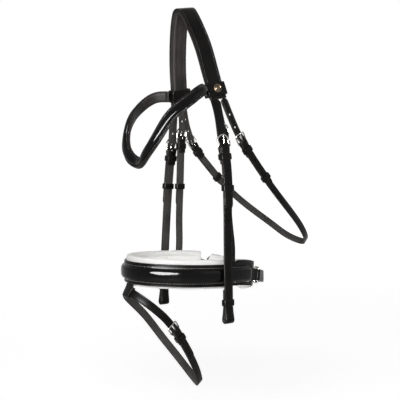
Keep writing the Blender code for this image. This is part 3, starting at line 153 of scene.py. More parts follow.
def pebbled(tree, shader, coords, size, depth, strength):
    """Presses a grain of rounded pebbles into the surface."""
    cells = add_node(tree, "TexVoronoi", {"feature": "SMOOTH_F1", "Scale": 1 / size,
                                          "Smoothness": 0.6, "Randomness": 1.0}, {"Vector": coords})
    fine = add_node(tree, "TexNoise", {"Scale": 2.2 / size, "Detail": 3.0}, {"Vector": coords})
    both = add_node(tree, "Math", {"operation": "ADD"},
                    {0: cells.outputs["Distance"], 1: fine.outputs["Fac"]})
    bump = add_node(tree, "Bump", {"Strength": strength, "Distance": depth},
                    {"Height": both.outputs["Value"]})
    join(tree, shader, {"Normal": bump.outputs["Normal"]})
    return bump


bridle_leather, tree, shader, coords = new_finish("bridle_leather_waxed", PURE_BLACK_DYE, {
    "Specular IOR Level": 0.05})
patch = add_node(tree, "TexNoise", {"Scale": 1 / HIDE_PATCH, "Detail": 4.0}, {"Vector": coords})
hide = two_tones(tree, patch.outputs["Fac"], PURE_BLACK_DYE, BROWN_BLACK_DYE)
strap_map = add_node(tree, "UVMap", {"uv_map": "strap"})
map_numbers = add_node(tree, "SeparateXYZ", links={"Vector": strap_map.outputs["UV"]})
inside = spread(tree, map_numbers.outputs["Y"], 0.0, 1.0, WAXED_EDGE * 0.3, WAXED_EDGE)
colour = add_node(tree, "MixRGB", {"Color1": linear(EDGE_WAX)}, {"Fac": inside, "Color2": hide})
rough = add_node(tree, "Math", {"operation": "MULTIPLY"},
                 {0: spread(tree, patch.outputs["Fac"], 0.24, 0.38),
                  1: spread(tree, inside, 0.7, 1.0, 0.0, 1.0)})
join(tree, shader, {"Base Color": colour.outputs["Color"], "Roughness": rough.outputs["Value"]})
pebbled(tree, shader, coords, GRAIN_SIZE, GRAIN_DEPTH, 0.5)
print("Made", bridle_leather.name)

# %% [markdown]
# ### Flesh side
# The back of a strap is the flesh side of the hide: dyed too, but fibrous and dull, so it looks
# dark grey beside the waxed front. Short fibres scatter the light, which the shader's sheen
# gives. The fibres are stretched along the strap, about 4 mm long and 0.5 mm wide.

# %% Finish of the flesh side
FIBRE_WIDTH = 0.0005
FIBRE_LENGTH = 0.004
FIBRE_RISE = 0.00015
flesh_side, tree, shader, coords = new_finish("flesh_side_of_hide", "#383431", {
    "Specular IOR Level": 0.06, "Sheen Weight": 0.04, "Sheen Roughness": 0.6})
strap_map = add_node(tree, "UVMap", {"uv_map": "strap"})
fibres = add_node(tree, "Mapping", {"Scale": (1 / FIBRE_LENGTH, 1 / FIBRE_WIDTH, 1.0)},
                  {"Vector": strap_map.outputs["UV"]})
nap = add_node(tree, "TexNoise", {"Scale": 1.0, "Detail": 4.0},
               {"Vector": fibres.outputs["Vector"]})
patch = add_node(tree, "TexNoise", {"Scale": 1 / HIDE_PATCH, "Detail": 5.0}, {"Vector": coords})
both = add_node(tree, "Math", {"operation": "ADD"},
                {0: nap.outputs["Fac"], 1: patch.outputs["Fac"]})
bump = add_node(tree, "Bump", {"Strength": 0.6, "Distance": FIBRE_RISE},
                {"Height": nap.outputs["Fac"]})
join(tree, shader, {
    "Base Color": two_tones(tree, both.outputs["Value"], "#242221", "#3e3b39", 0.75, 1.0),
    "Roughness": spread(tree, patch.outputs["Fac"], 0.66, 0.84),
    "Normal": bump.outputs["Normal"]})
print("Made", flesh_side.name)

# %% [markdown]
# ### Patent leather
# The rolls of the noseband and browband are covered in patent leather: hide under a poured
# polyurethane varnish. The varnish is nearly a mirror, but it follows the slow waves of the
# hide below, about 9 mm apart, so its highlights wobble. Polished wear leaves the gloss uneven.

# %% Finish of the patent leather
WAVE_SIZE = 0.009
WAVE_HEIGHT = 0.0004
WEAR_PATCH = 0.03
patent_leather, tree, shader, coords = new_finish("patent_leather_varnished", "#050505", {
    "Specular IOR Level": 0.09})
waves = add_node(tree, "TexNoise", {"Scale": 1 / WAVE_SIZE, "Detail": 1.0}, {"Vector": coords})
wear = add_node(tree, "TexNoise", {"Scale": 1 / WEAR_PATCH, "Detail": 5.0}, {"Vector": coords})
mottle(tree, shader, wear.outputs["Fac"], "#040404", "#0b0a0a", (0.05, 0.13))
bump = add_node(tree, "Bump", {"Strength": 0.35, "Distance": WAVE_HEIGHT},
                {"Height": waves.outputs["Fac"]})
join(tree, shader, {"Normal": bump.outputs["Normal"]})
print("Made", patent_leather.name)

# %% [markdown]
# ### Soft linings
# The crown pad and the browband's lining are thin chrome tanned nappa, dyed dark grey, over
# foam. The noseband's pads are the same leather in white. Nappa is dull and fine, with small
# creases where the foam gives, so a crease pattern of about 6 mm lies over the grain.

# %% Finishes of the soft leathers
CREASE_SIZE = 0.006
CREASE_RISE = 0.0005
NAPPA_GRAIN_DEPTH = 0.00006


def nappa_finish(name, dark, light, roughness, gloss, sheen):
    """Fine soft leather over foam, in shades between two dyes."""
    material, tree, shader, coords = new_finish(name, dark, {
        "Specular IOR Level": gloss, "Sheen Weight": sheen, "Sheen Roughness": 0.5})
    patch = add_node(tree, "TexNoise", {"Scale": 1 / HIDE_PATCH, "Detail": 5.0},
                     {"Vector": coords})
    mottle(tree, shader, patch.outputs["Fac"], dark, light, roughness)
    grain = pebbled(tree, shader, coords, GRAIN_SIZE * 0.8, NAPPA_GRAIN_DEPTH, 0.4)
    folds = add_node(tree, "TexNoise", {"Scale": 1 / CREASE_SIZE, "Detail": 3.0, "Distortion": 0.6},
                     {"Vector": coords})
    creased = add_node(tree, "Bump", {"Strength": 0.35, "Distance": CREASE_RISE},
                       {"Height": folds.outputs["Fac"], "Normal": grain.outputs["Normal"]})
    join(tree, shader, {"Normal": creased.outputs["Normal"]})
    return material


grey_nappa = nappa_finish("grey_nappa_lining", "#211e1e", "#373231", (0.48, 0.62), 0.07, 0.03)
white_nappa = nappa_finish("white_nappa_padding", "#e9e8e6", "#f1f0ee", (0.50, 0.64), 0.04, 0.0)
print("Made", grey_nappa.name, "and", white_nappa.name)

# %% [markdown]
# ### Thread, steel and enamel
# Saddlers sew with waxed polyester cord, black on the straps and white on the noseband's pad.
# The stitches beside the noseband's roll are black too. Their glint is painted in there as a
# lighter grey cord, so that they show as a dotted line. The cord's twist is drawn as slanting
# ridges. The buckles are cast stainless steel, polished on a wheel, which leaves faint smears.
# The browband's studs are bronze that has gone brown, with a groove of black enamel. Smears,
# patina and fired enamel differ only in tone, gloss and size of patch.

# %% Finishes of the small parts
CORD_TWIST = 0.004
CORD_RIDGE = 0.0001
SMEAR_SIZE, PATINA_SIZE, ENAMEL_PATCH = 0.004, 0.002, 0.003


def cord_finish(name, dark, light, roughness, gloss):
    """Waxed twisted cord."""
    material, tree, shader, coords = new_finish(name, dark, {"Roughness": roughness,
                                                             "Specular IOR Level": gloss})
    twist = add_node(tree, "TexWave", {"Scale": 1 / CORD_TWIST, "Distortion": 3.0, "Detail": 1.0,
                                       "bands_direction": "DIAGONAL"}, {"Vector": coords})
    bump = add_node(tree, "Bump", {"Strength": 0.5, "Distance": CORD_RIDGE},
                    {"Height": twist.outputs["Fac"]})
    join(tree, shader, {"Base Color": two_tones(tree, twist.outputs["Fac"], dark, light, 0.2, 0.8),
                        "Normal": bump.outputs["Normal"]})
    return material


def hard_finish(name, dark, light, roughness, size, detail, sockets):
    """Metal or enamel with faint patches of the given size."""
    material, tree, shader, coords = new_finish(name, dark, sockets)
    patches = add_node(tree, "TexNoise", {"Scale": 1 / size, "Detail": detail},
                       {"Vector": coords})
    mottle(tree, shader, patches.outputs["Fac"], dark, light, roughness)
    return material


black_cord = cord_finish("waxed_cord_black", "#2a2725", "#4a4643", 0.28, 0.6)
# Painted glint: the noseband's thread is black, and this lighter grey stands in for the light it
# catches.
painted_glint_cord = cord_finish("waxed_cord_grey_painted_glint", "#6f6b66", "#a39f99", 0.28, 0.6)
white_cord = cord_finish("waxed_cord_white", "#cfcdc9", "#e6e4e0", 0.50, 0.3)
bright_steel = hard_finish("polished_stainless_steel", "#7f7d78", "#9b9994", (0.12, 0.26),
                           SMEAR_SIZE, 4.0, {"Metallic": 1.0})
aged_bronze = hard_finish("aged_bronze", "#41372c", "#665948", (0.24, 0.40), PATINA_SIZE, 4.0,
                          {"Metallic": 1.0})
black_enamel = hard_finish("black_enamel_groove", "#080707", "#141211", (0.12, 0.22),
                           ENAMEL_PATCH, 2.0, {"Specular IOR Level": 0.5})
print("Made", black_cord.name, painted_glint_cord.name, white_cord.name, bright_steel.name,
      aged_bronze.name, black_enamel.name)

# %% [markdown]
# ## Routes
# Every strap follows a smooth line that was measured from the photograph, and the CAD solids
# follow the same lines. A route gives the place at a length along it, and three directions
# there: along, across and out. A natural cubic spline bends as a strip of leather does, with
# no sudden change, so it is the right curve for a hanging strap.

# %% Smooth routes
SPLINE_SAMPLES = 900


def natural_spline(points, samples):
    """Points along the natural cubic spline through the given ones, and their knots."""
    knots = np.array([tuple(point) for point in points], dtype=float)
    steps = np.linalg.norm(np.diff(knots, axis=0), axis=1)
    places = np.concatenate([[0.0], np.cumsum(steps)])
    count = len(knots)
    matrix = np.eye(count)
    target = np.zeros((count, 3))
    for i in range(1, count - 1):
        before, after = steps[i - 1], steps[i]
        matrix[i, i - 1:i + 2] = (before, 2 * (before + after), after)
        target[i] = 6 * ((knots[i + 1] - knots[i]) / after - (knots[i] - knots[i - 1]) / before)
    bend = np.linalg.solve(matrix, target)
    wanted = np.linspace(0.0, places[-1], samples)
    span = np.clip(np.searchsorted(places, wanted, side="right") - 1, 0, count - 2)
    width = steps[span][:, None]
    right = (wanted - places[span])[:, None]
    left = width - right
    curve = (bend[span] * left**3 + bend[span + 1] * right**3) / (6 * width)
    curve += (knots[span] / width - bend[span] * width / 6) * left
    curve += (knots[span + 1] / width - bend[span + 1] * width / 6) * right
    return curve, places


class Route:
    """A smooth line measured by length, with a width direction and an outward side."""

    def __init__(self, points, wide, side=1, closed=False):
        self.line, places = natural_spline(points, SPLINE_SAMPLES)
        lengths = np.linalg.norm(np.diff(self.line, axis=0), axis=1)
        self.run = np.concatenate([[0.0], np.cumsum(lengths)])
        self.length = float(self.run[-1])
        self.knots = np.interp(places, np.linspace(0, places[-1], SPLINE_SAMPLES), self.run)
        self.wide = wide
        self.side = side
        self.closed = closed
        slopes = np.gradient(self.line, axis=0)
        self.slopes = slopes / np.linalg.norm(slopes, axis=1)[:, None]

    def read(self, table, s):
        return Vector([float(np.interp(s, self.run, table[:, k])) for k in range(3)])

    def wrapped(self, s):
        return s % self.length if self.closed else s

    def axes(self, s):
        """Directions along, across and out of the strap at length s."""
        along = self.read(self.slopes, self.wrapped(s)).normalized()
        wide = self.wide
        if callable(wide):
            wide = wide(self.read(self.line, self.wrapped(s)), along)
        across = (wide - wide.dot(along) * along).normalized()
        return along, across, self.side * across.cross(along)

    def place(self, s, out=0.0, across=0.0):
        inside = self.wrapped(s)
        held = min(max(inside, 0.0), self.length)
        along, wide, outward = self.axes(s)
        return self.read(self.line, held) + along * (inside - held) + outward * out + wide * across


def flipped(point):
    return Vector((point.x, -point.y, point.z))


def both_sides(points):
    """A line of points that starts at the middle, continued to the other side."""
    return [flipped(Vector(point)) for point in reversed(points[1:])] + [Vector(p) for p in points]


def side_points(shares, x_size, y_size, z_size, side):
    return [Vector((x_size * x, side * y_size * y, -z_size * z)) for x, y, z in shares]


SIDES = (("_left", -1), ("_right", 1))
print("Routes have", SPLINE_SAMPLES, "samples each")

# %% [markdown]
# ### The crown's route
# The crown goes over the poll, behind the ears, and hangs down on both sides to where the
# other straps leave it. It leans back by 28 mm as it drops by 141 mm.

# %% Route of the crown
GAP = 0.0003
CROWN_LEATHER = 0.0034
CROWN_DROP = 0.141
CROWN_LEAN = 0.0285
CROWN_SPREAD = 0.056
CROWN_WIDTH = 0.032
CROWN_PAD_WIDTH = 0.028
CROWN_PAD_DEPTH = 0.0068
CROWN_PAD_END_DEPTH = 0.0050
CROWN_TOP = CROWN_LEATHER / 2 + GAP + CROWN_PAD_DEPTH
CROWN_WIDE = Vector((CROWN_DROP, 0, CROWN_LEAN)).normalized()
CROWN_SHARES = (
    (0.000, 0.000, 0.0000), (0.014, 0.130, 0.0136), (0.056, 0.230, 0.0570),
    (0.218, 0.443, 0.2135), (0.428, 0.643, 0.4120), (0.672, 0.807, 0.6760),
    (0.884, 0.916, 0.8810), (1.000, 1.000, 1.0000),
)


def crown_route(side):
    half = [
        Vector((CROWN_LEAN * x, side * CROWN_SPREAD * y, CROWN_TOP - (CROWN_DROP + CROWN_TOP) * z))
        for x, y, z in CROWN_SHARES
    ]
    return Route(both_sides(half), CROWN_WIDE, side)


CROWN = {side: crown_route(side) for side in (1, -1)}
CROWN_END = CROWN[1].length
print("Crown length", round(CROWN_END, 3), "m")

# %% [markdown]
# ### The noseband's route
# The noseband is an oval round the muzzle: 490 mm long from ring to ring, with its rear end
# drooping where the crank strap closes it under the jaw. The route runs from the front, past
# its own start, so that the strap behind the jaw can be laid on the same line.

# %% Route of the noseband
UPWARD = Vector((0, 0, 1))
BAND_LEATHER = 0.0030
NOSE_DROP = 0.413
NOSE_CENTRE_X = 0.014
NOSE_REAR_LENGTH = 0.142
NOSE_FALL_SHARE = 0.052
NOSE_BAND_HEIGHT = 0.034
NOSE_ROLL_WIDTH = 0.021
NOSE_ROLL_DEPTH = 0.0052
NOSE_HALF_LENGTH = 0.122
NOSE_HALF_WIDTH = 0.086
NOSE_BASE_LENGTH = NOSE_HALF_LENGTH - NOSE_ROLL_DEPTH - GAP - BAND_LEATHER / 2
NOSE_BASE_WIDTH = NOSE_HALF_WIDTH - NOSE_ROLL_DEPTH - GAP - BAND_LEATHER / 2
CRANK_DROOP = 0.016
DROOP_TURN = 104
NOSE_TURNS = range(0, 271, 10)


def nose_point(turn, side):
    """A point of the noseband leather's centre line, turn degrees from the front."""
    angle = math.radians(turn)
    rearward = min(turn, 360 - turn)
    sag = max(rearward - DROOP_TURN, 0) / (180 - DROOP_TURN)
    sag = sag * sag * (3 - 2 * sag)
    x = -math.cos(angle) * (NOSE_BASE_LENGTH if rearward < 90 else NOSE_REAR_LENGTH)
    fall = NOSE_FALL_SHARE * (x + NOSE_BASE_LENGTH) + CRANK_DROOP * sag
    return Vector((NOSE_CENTRE_X + x, side * NOSE_BASE_WIDTH * math.sin(angle), -NOSE_DROP - fall))


def nose_route(side):
    return Route(both_sides([nose_point(turn, side) for turn in NOSE_TURNS]), UPWARD, side)


NOSE = {side: nose_route(side) for side in (1, -1)}


def turn_place(turn):
    """Length along the noseband's line where the given turn lies."""
    return float(np.interp(turn, NOSE_TURNS, NOSE[1].knots[len(NOSE_TURNS) - 1:]))


print("Noseband from front to rear", round(turn_place(180) - turn_place(0), 3), "m")

# %% [markdown]
# ### Routes of the hanging straps
# From the end of the crown hang three pairs of straps: the cheekpieces, which end in the eyes
# for the bit, the hangers, which carry the noseband, and the throatlash. Each route starts
# where its billet leaves the crown.

# %% Routes of the cheekpieces, hangers and throatlash
STRAP_LEATHER = 0.0026
LIGHT_LEATHER = 0.0022
BILLET_LEATHER = 0.0024
CHEEK_WIDTH = 0.016
HANGER_WIDTH = 0.013
THROAT_WIDTH = 0.0127
ROOT_GAP = 0.0010
SWING_GAP = 0.0006
FOLD_TAPER = 0.009
SIDE_CLEARANCE = 0.0016
BIT_SPLAY = 0.0041
BIT_DROP = 0.489
BIT_SPREAD = NOSE_HALF_WIDTH + SIDE_CLEARANCE + STRAP_LEATHER / 2 + BIT_SPLAY
CHEEK_LEAN = 0.0255
CHEEK_ACROSS = (CHEEK_WIDTH - CROWN_WIDTH) / 2
THROAT_ACROSS = (CROWN_WIDTH - THROAT_WIDTH) / 2
HANGER_LEVEL = -(CROWN_LEATHER / 2 + GAP + CROWN_PAD_END_DEPTH / 2)
HANGER_X = 0.0385
HANGER_SPREAD = 0.0665
HANGER_FOOT_BACK = 1.05
HANGER_TUCK = 0.020
THROAT_REACH = 0.272
THROAT_SPREAD = 0.068
THROAT_DROP = 0.388
THROAT_LEAD_BACK = 0.0354
THROAT_LEAD_DOWN = 0.0619
CHEEK_SHARES = (
    (0.860, 0.675, 0.327), (0.961, 0.780, 0.427), (1.000, 0.839, 0.491), (0.980, 0.893, 0.575),
    (0.863, 0.955, 0.783), (0.830, 0.978, 0.879), (0.804, 1.000, 1.000),
)
HANGER_SHARES = (
    (0.850, 0.812, 0.395), (0.935, 0.878, 0.453), (0.966, 0.925, 0.520), (1.000, 1.000, 0.683),
    (1.030, 1.075, 0.835),
)
THROAT_SHARES = (
    (0.360, 0.975, 0.629), (0.530, 0.912, 0.747), (0.720, 0.740, 0.853), (0.864, 0.529, 0.930),
    (0.949, 0.320, 0.978), (1.000, 0.000, 1.000),
)


def cheek_route(side):
    points = [CROWN[side].place(CROWN_END + ROOT_GAP, 0.0, CHEEK_ACROSS)]
    points += side_points(CHEEK_SHARES, CHEEK_LEAN, BIT_SPREAD, BIT_DROP, side)
    return Route(points, CROWN_WIDE, side)


HANGER_FOOT = turn_place(math.degrees(math.acos(
    (NOSE_CENTRE_X - HANGER_X * HANGER_FOOT_BACK) / NOSE_REAR_LENGTH)))
HANGER_FOOT_LEVEL = -(BAND_LEATHER / 2 + GAP * 1.5 + LIGHT_LEATHER / 2)
NOSE_PAD_HEIGHT = 0.045
NOSE_PAD_RAISE = 0.002
PAD_TOP = NOSE_PAD_HEIGHT / 2 + NOSE_PAD_RAISE


def hanger_route(side):
    """Down the cheek, then in between the noseband's leather and its pad."""
    root = CROWN[side].place(CROWN_END + SWING_GAP, HANGER_LEVEL)
    points = [root] + side_points(HANGER_SHARES, HANGER_X, HANGER_SPREAD, NOSE_DROP, side)
    top = NOSE[side].place(HANGER_FOOT, HANGER_FOOT_LEVEL, PAD_TOP + FOLD_TAPER)
    foot = NOSE[side].place(HANGER_FOOT, HANGER_FOOT_LEVEL, PAD_TOP - HANGER_TUCK)
    turned_wide = NOSE[side].axes(HANGER_FOOT)[0]

    def wide(point, along):
        share = (point.z - root.z) / (top.z - root.z)
        return CROWN_WIDE.lerp(turned_wide, min(max(share, 0.0), 1.0))

    return Route(points + [top, (top + foot) / 2, foot], wide, side)


def throat_route(side):
    root = CROWN[side].place(CROWN_END + SWING_GAP, 0.0, THROAT_ACROSS)
    points = [root, Vector((CROWN_LEAN + THROAT_LEAD_BACK, side * THROAT_SPREAD,
                            -(CROWN_DROP + THROAT_LEAD_DOWN)))]
    points += side_points(THROAT_SHARES, THROAT_REACH, THROAT_SPREAD, THROAT_DROP, side)
    mirror = [flipped(point) for point in reversed(points[:-1])]
    fore, aft = points[1], points[-1]
    return Route(points + mirror, Vector((fore.z - aft.z, 0, aft.x - fore.x)), side)


CHEEK = {side: cheek_route(side) for side in (1, -1)}
HANGER = {side: hanger_route(side) for side in (1, -1)}
THROAT = {side: throat_route(side) for side in (1, -1)}
print("Cheekpiece", round(CHEEK[1].length, 3), "hanger", round(HANGER[1].length, 3),
      "throatlash", round(THROAT[1].length, 3), "m")

# %% [markdown]
# ### Routes of the browband and the flash strap
# The browband leaves the crown on both sides and dips round the forehead. The flash strap is
# a second, thinner loop that hangs from the front of the noseband.

# %% Routes of the browband and the flash strap
BROW_LOOP_DROP = 0.126
LOOP_LEATHER = 0.0018
LOOP_PLAY = 0.0012
BROW_REACH = 0.114
BROW_SPREAD = 0.072
BROW_DIP = 0.118
BROW_CLEAR = 0.0018
BROW_LEAN = 0.75
BROW_MIDDLE_X = 0.015
FLASH_WIDTH = 0.0127
FLASH_DROP = 0.167
FLASH_REACH = 0.135
FLASH_SPREAD = 0.038
FLASH_TILT = math.radians(30)
FLASH_HANG = 0.0032
FLASH_LOOP_LEATHER = 0.0020
FLASH_WALL = LIGHT_LEATHER / 2 + GAP * 2.5 + FLASH_LOOP_LEATHER / 2
FLASH_EDGE = FLASH_WIDTH / 2 + GAP * 3 + FLASH_LOOP_LEATHER / 2
FLASH_ROOT = Vector((NOSE_CENTRE_X - NOSE_BASE_LENGTH, 0, -NOSE_DROP - NOSE_BAND_HEIGHT / 2))
FLASH_SHARES = (
    (0.010, 0.260, 0.015), (0.065, 0.620, 0.060), (0.185, 0.870, 0.145), (0.370, 0.960, 0.285),
    (0.590, 0.880, 0.510), (0.800, 0.600, 0.745), (0.940, 0.290, 0.920), (1.000, 0.000, 1.000),
)
BROW_SHARES = (
    (0.316, 0.930, 0.040), (0.553, 1.000, 0.180), (0.798, 0.830, 0.402), (0.943, 0.632, 0.680),
    (1.000, 0.333, 0.905), (0.960, 0.000, 1.000),
)


def brow_loop_place():
    """Length along the crown where the browband's loop sits."""
    heights = CROWN[1].line[:, 2]
    half = len(heights) // 2
    return float(np.interp(BROW_LOOP_DROP, -heights[half:], CROWN[1].run[half:]))


BROW_LOOP = brow_loop_place()


def brow_route():
    loop = CROWN[1].place(BROW_LOOP)
    wall = CROWN_WIDTH / 2 + LOOP_PLAY + LOOP_LEATHER + BROW_CLEAR
    start = CROWN[1].place(BROW_LOOP, 0.0, -wall)
    upright = -CROWN[1].axes(BROW_LOOP)[0]
    points = [start] + [
        Vector((loop.x - BROW_REACH * x, BROW_SPREAD * y, loop.z - BROW_DIP * z))
        for x, y, z in BROW_SHARES
    ]

    def wide(point, along):
        lean = BROW_LEAN * max(0.0, 1 - abs(point.y) / BROW_SPREAD)
        facing = Vector((point.x - BROW_MIDDLE_X, point.y, 0)).normalized() + UPWARD * lean
        share = min(max((start.x - point.x) / (BROW_REACH / 3), 0.0), 1.0)
        first = upright if point.y > 0 else flipped(upright)
        return first.lerp(along.cross(facing).normalized(), share)

    return Route(both_sides(points[::-1]), wide)


def flash_route():
    """From the front of the noseband down the near leg and back up the far leg."""
    upward = Vector((math.sin(FLASH_TILT), 0, math.cos(FLASH_TILT)))
    forward = Vector((-math.cos(FLASH_TILT), 0, math.sin(FLASH_TILT)))
    front = FLASH_ROOT - upward * (FLASH_EDGE + FLASH_HANG) - forward * FLASH_WALL
    near = [front] + [
        front + Vector((FLASH_REACH * x, -FLASH_SPREAD * y, -FLASH_DROP * z))
        for x, y, z in FLASH_SHARES
    ]
    lowered = Vector((FLASH_DROP, 0, FLASH_REACH)).normalized()

    def wide(point, along):
        share = (front.z - point.z) / (FLASH_DROP / 2)
        return upward.lerp(lowered, min(max(share, 0.0), 1.0))

    return Route(near + [flipped(point) for point in reversed(near[:-1])], wide, -1, closed=True)


BROW = brow_route()
FLASH = flash_route()
print("Browband", round(BROW.length, 3), "flash strap", round(FLASH.length, 3), "m")

# %% [markdown]
# ## Straps
# A strap is a strip of leather: its cut end has rounded corners, a slightly domed face, and a
# crease pressed 2 mm from each edge with a hot iron. The shape could be a solidified strip with
# bevelled edges. Here a grid is wrapped round the cut end's outline instead, row after row along
# the route, because the crease and the dome then come with it, and so does the strap's map.

# %% Outline of a strap's cut end
CORNER = 0.0007
CREASE_INSET = 0.0021
CREASE_HALF = 0.0004
CREASE_DEPTH = 0.00022
DOME = 0.00015
MERGE = 0.00001


def strap_outline(half, leather, creased):
    """Columns round the cut end, each (side, distance from the edge, height)."""
    deep = leather / 2
    corner = min(CORNER, deep * 0.8)
    arc = [(corner * (1 + math.cos(math.radians(turn))),
            deep - corner * (1 - math.sin(math.radians(turn)))) for turn in (180, 150, 120, 90)]
    front = list(arc)
    if creased:
        front += [(CREASE_INSET - CREASE_HALF, deep), (CREASE_INSET, deep - CREASE_DEPTH),
                  (CREASE_INSET + CREASE_HALF, deep)]
    front += [(half * 0.5, deep + DOME * 0.75)]
    back = [(inset, -height) for inset, height in arc]
    columns = [(-1, inset, height) for inset, height in front]
    columns += [(0, half, deep + DOME)]
    columns += [(1, inset, height) for inset, height in reversed(front)]
    columns += [(1, inset, height) for inset, height in back]
    columns += [(0, half, -deep)]
    columns += [(-1, inset, height) for inset, height in reversed(back)]
    return np.array(columns)


print("Columns round a strap:", len(strap_outline(0.008, STRAP_LEATHER, True)))

# %% [markdown]
# A path says how the strap runs: rows of (length, out, half width). It is drawn with corners,
# and eased, because thick leather can't take a sharp corner. Rows that add no bend are left
# out again, so the mesh is fine only where the strap turns.

# %% Lay a path along a route
PATH_STEP = 0.001
ROW_SPACE = 0.004
ROW_TURN = math.radians(3)
ROW_WIDENS = 0.0004


def eased(table, step=PATH_STEP, passes=3, place_columns=2):
    """The same path at an even step, with its corners eased."""
    table = np.array(table, dtype=float)
    lengths = np.linalg.norm(np.diff(table[:, :place_columns], axis=0), axis=1)
    run = np.concatenate([[0.0], np.cumsum(lengths)])
    wanted = np.linspace(0.0, run[-1], max(3, round(run[-1] / step)) + 1)
    points = np.stack([np.interp(wanted, run, column) for column in table.T], axis=1)
    for _ in range(passes):
        points[1:-1] = (points[:-2] + 2 * points[1:-1] + points[2:]) / 4
    return points


def lay(route, path, raised=0.0):
    """Rows of (centre, half width vector, outward direction) of a path along a route."""
    rows = []
    for s, out, half in path:
        axes = route.axes(s)
        rows.append([*route.place(s, out, raised), *(axes[1] * half), *axes[2]])
    return np.array(rows)


def thinned(rows):
    """Leaves out rows where the strap runs nearly straight."""
    kept = [0]
    heading = rows[1, :3] - rows[0, :3]
    for k in range(1, len(rows) - 1):
        step = rows[k + 1, :3] - rows[k, :3]
        gone = np.linalg.norm(rows[k, :3] - rows[kept[-1], :3])
        share = np.dot(step, heading) / (np.linalg.norm(step) * np.linalg.norm(heading))
        width = abs(np.linalg.norm(rows[k, 3:6]) - np.linalg.norm(rows[kept[-1], 3:6]))
        if gone > ROW_SPACE or math.acos(min(share, 1.0)) > ROW_TURN or width > ROW_WIDENS:
            kept.append(k)
            heading = step
    return rows[kept + [len(rows) - 1]]


print("Path step", PATH_STEP, "m")

# %% [markdown]
# Then the grid is wrapped. Each row of the grid is one outline, set square to the strap where
# it lies. The two long borders of the grid meet and are merged, and the ends are closed and
# drawn in, as an edge slicker rounds them.

# %% Make a strap
END_ROUND = 0.25
END_TURNS = (45, 90)


def wrapped_grid(sections, lengths, insets, backs, closed):
    """A grid wrapped through outlines, with the strap's map and two finishes."""
    around = sections.shape[1]
    last = len(sections) - 1
    sheet = bmesh.new()
    bmesh.ops.create_grid(sheet, x_segments=around, y_segments=last, size=1.0)
    layer = sheet.loops.layers.uv.new("strap")
    spots = {}
    for vert in sheet.verts:
        row = round((vert.co.y + 1) / 2 * last)
        column = round((vert.co.x + 1) / 2 * around)
        spots[vert] = (row, column)
        vert.co = sections[row, column % around]
    for face in sheet.faces:
        columns = [spots[vert][1] for vert in face.verts]
        face.material_index = int(backs[min(columns)] and backs[max(columns) % around])
        for loop in face.loops:
            row, column = spots[loop.vert]
            loop[layer].uv = (lengths[row], insets[row, column % around])
    bmesh.ops.remove_doubles(sheet, verts=sheet.verts, dist=MERGE)
    if not closed:
        rims = [edge for edge in sheet.edges if edge.is_boundary]
        bmesh.ops.holes_fill(sheet, edges=rims, sides=0)
    bmesh.ops.recalc_face_normals(sheet, faces=sheet.faces)
    return sheet


def unit(table):
    return table / np.linalg.norm(table, axis=1)[:, None]


def strap_sheet(rows, leather, creased=True, closed=False, front=0.5):
    """The mesh of a strap through rows of (centre, half width vector, outward direction)."""
    centres, halves = rows[:, :3], np.linalg.norm(rows[:, 3:6], axis=1)
    wide = unit(rows[:, 3:6])
    if closed:
        tangents = unit(np.roll(centres, -1, axis=0) - np.roll(centres, 1, axis=0))
    else:
        tangents = unit(np.gradient(centres, axis=0))
    outs = unit(np.cross(wide, tangents))
    if closed:
        agree = np.sum(outs * (centres - centres.mean(axis=0)))
    else:
        checked = round(front * (len(rows) - 1))
        agree = np.dot(outs[checked], rows[checked, 6:])
    outs = outs * math.copysign(1.0, agree)
    thins = np.ones(len(rows))
    deep = leather / 2
    if not closed:
        radius = deep * END_ROUND
        centres = centres.copy()
        centres[0] += tangents[0] * radius
        centres[-1] -= tangents[-1] * radius
        table = np.concatenate([centres, halves[:, None], wide, outs, thins[:, None]], axis=1)
        first, final = [], []
        for turn in END_TURNS:
            reach = radius * math.sin(math.radians(turn))
            shrink = radius * (1 - math.cos(math.radians(turn)))
            for row, sign, tangent, group in ((table[0], -1, tangents[0], first),
                                              (table[-1], 1, tangents[-1], final)):
                extra = row.copy()
                extra[:3] += sign * tangent * reach
                extra[3] -= shrink
                extra[10] = (deep - shrink) / deep
                group.append(extra)
        table = np.concatenate([first[::-1], table, final])
        centres, halves, wide = table[:, :3], table[:, 3], table[:, 4:7]
        outs, thins = table[:, 7:10], table[:, 10]
    widest = float(halves.max())
    outline = strap_outline(widest, leather, creased)
    scale = np.minimum(halves / widest, 1.0)[:, None]
    insets = outline[None, :, 1] * scale
    x = outline[None, :, 0] * (halves[:, None] - insets)
    y = outline[None, :, 2] * thins[:, None]
    sections = centres[:, None] + wide[:, None] * x[..., None] + outs[:, None] * y[..., None]
    steps = np.linalg.norm(np.diff(centres, axis=0), axis=1)
    lengths = np.concatenate([[0.0], np.cumsum(steps)])
    maps = np.broadcast_to(outline[None, :, 1], insets.shape).copy()
    if closed:
        sections = np.concatenate([sections, sections[:1]])
        lengths = np.append(lengths, lengths[-1] + np.linalg.norm(centres[0] - centres[-1]))
        maps = np.concatenate([maps, maps[:1]])
    else:
        to_end = np.minimum(lengths, lengths[-1] - lengths)
        maps = np.minimum(maps, to_end[:, None])
    backs = outline[:, 2] <= -deep + MERGE
    return wrapped_grid(sections, lengths, maps, backs, closed)


def finish_piece(name, sheet, finishes, body, node=None, sharp=40):
    """Turns a bmesh into a piece on its body, in its finishes, in place of its CAD node."""
    mesh = bpy.data.meshes.new(name)
    sheet.to_mesh(mesh)
    sheet.free()
    for finish in finishes:
        mesh.materials.append(finish)
    mesh.shade_smooth()
    mesh.set_sharp_from_angle(angle=math.radians(sharp))
    piece = bpy.data.objects.new(name, mesh)
    bpy.context.scene.collection.objects.link(piece)
    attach(piece, body)
    if node is not None:
        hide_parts(node)
    return piece


LEATHER = (bridle_leather, flesh_side)


def make_strap(node, rows, leather, body, front=0.5, creased=True):
    sheet = strap_sheet(thinned(rows), leather, creased, front=front)
    return finish_piece("fine_" + node, sheet, LEATHER, body, node)


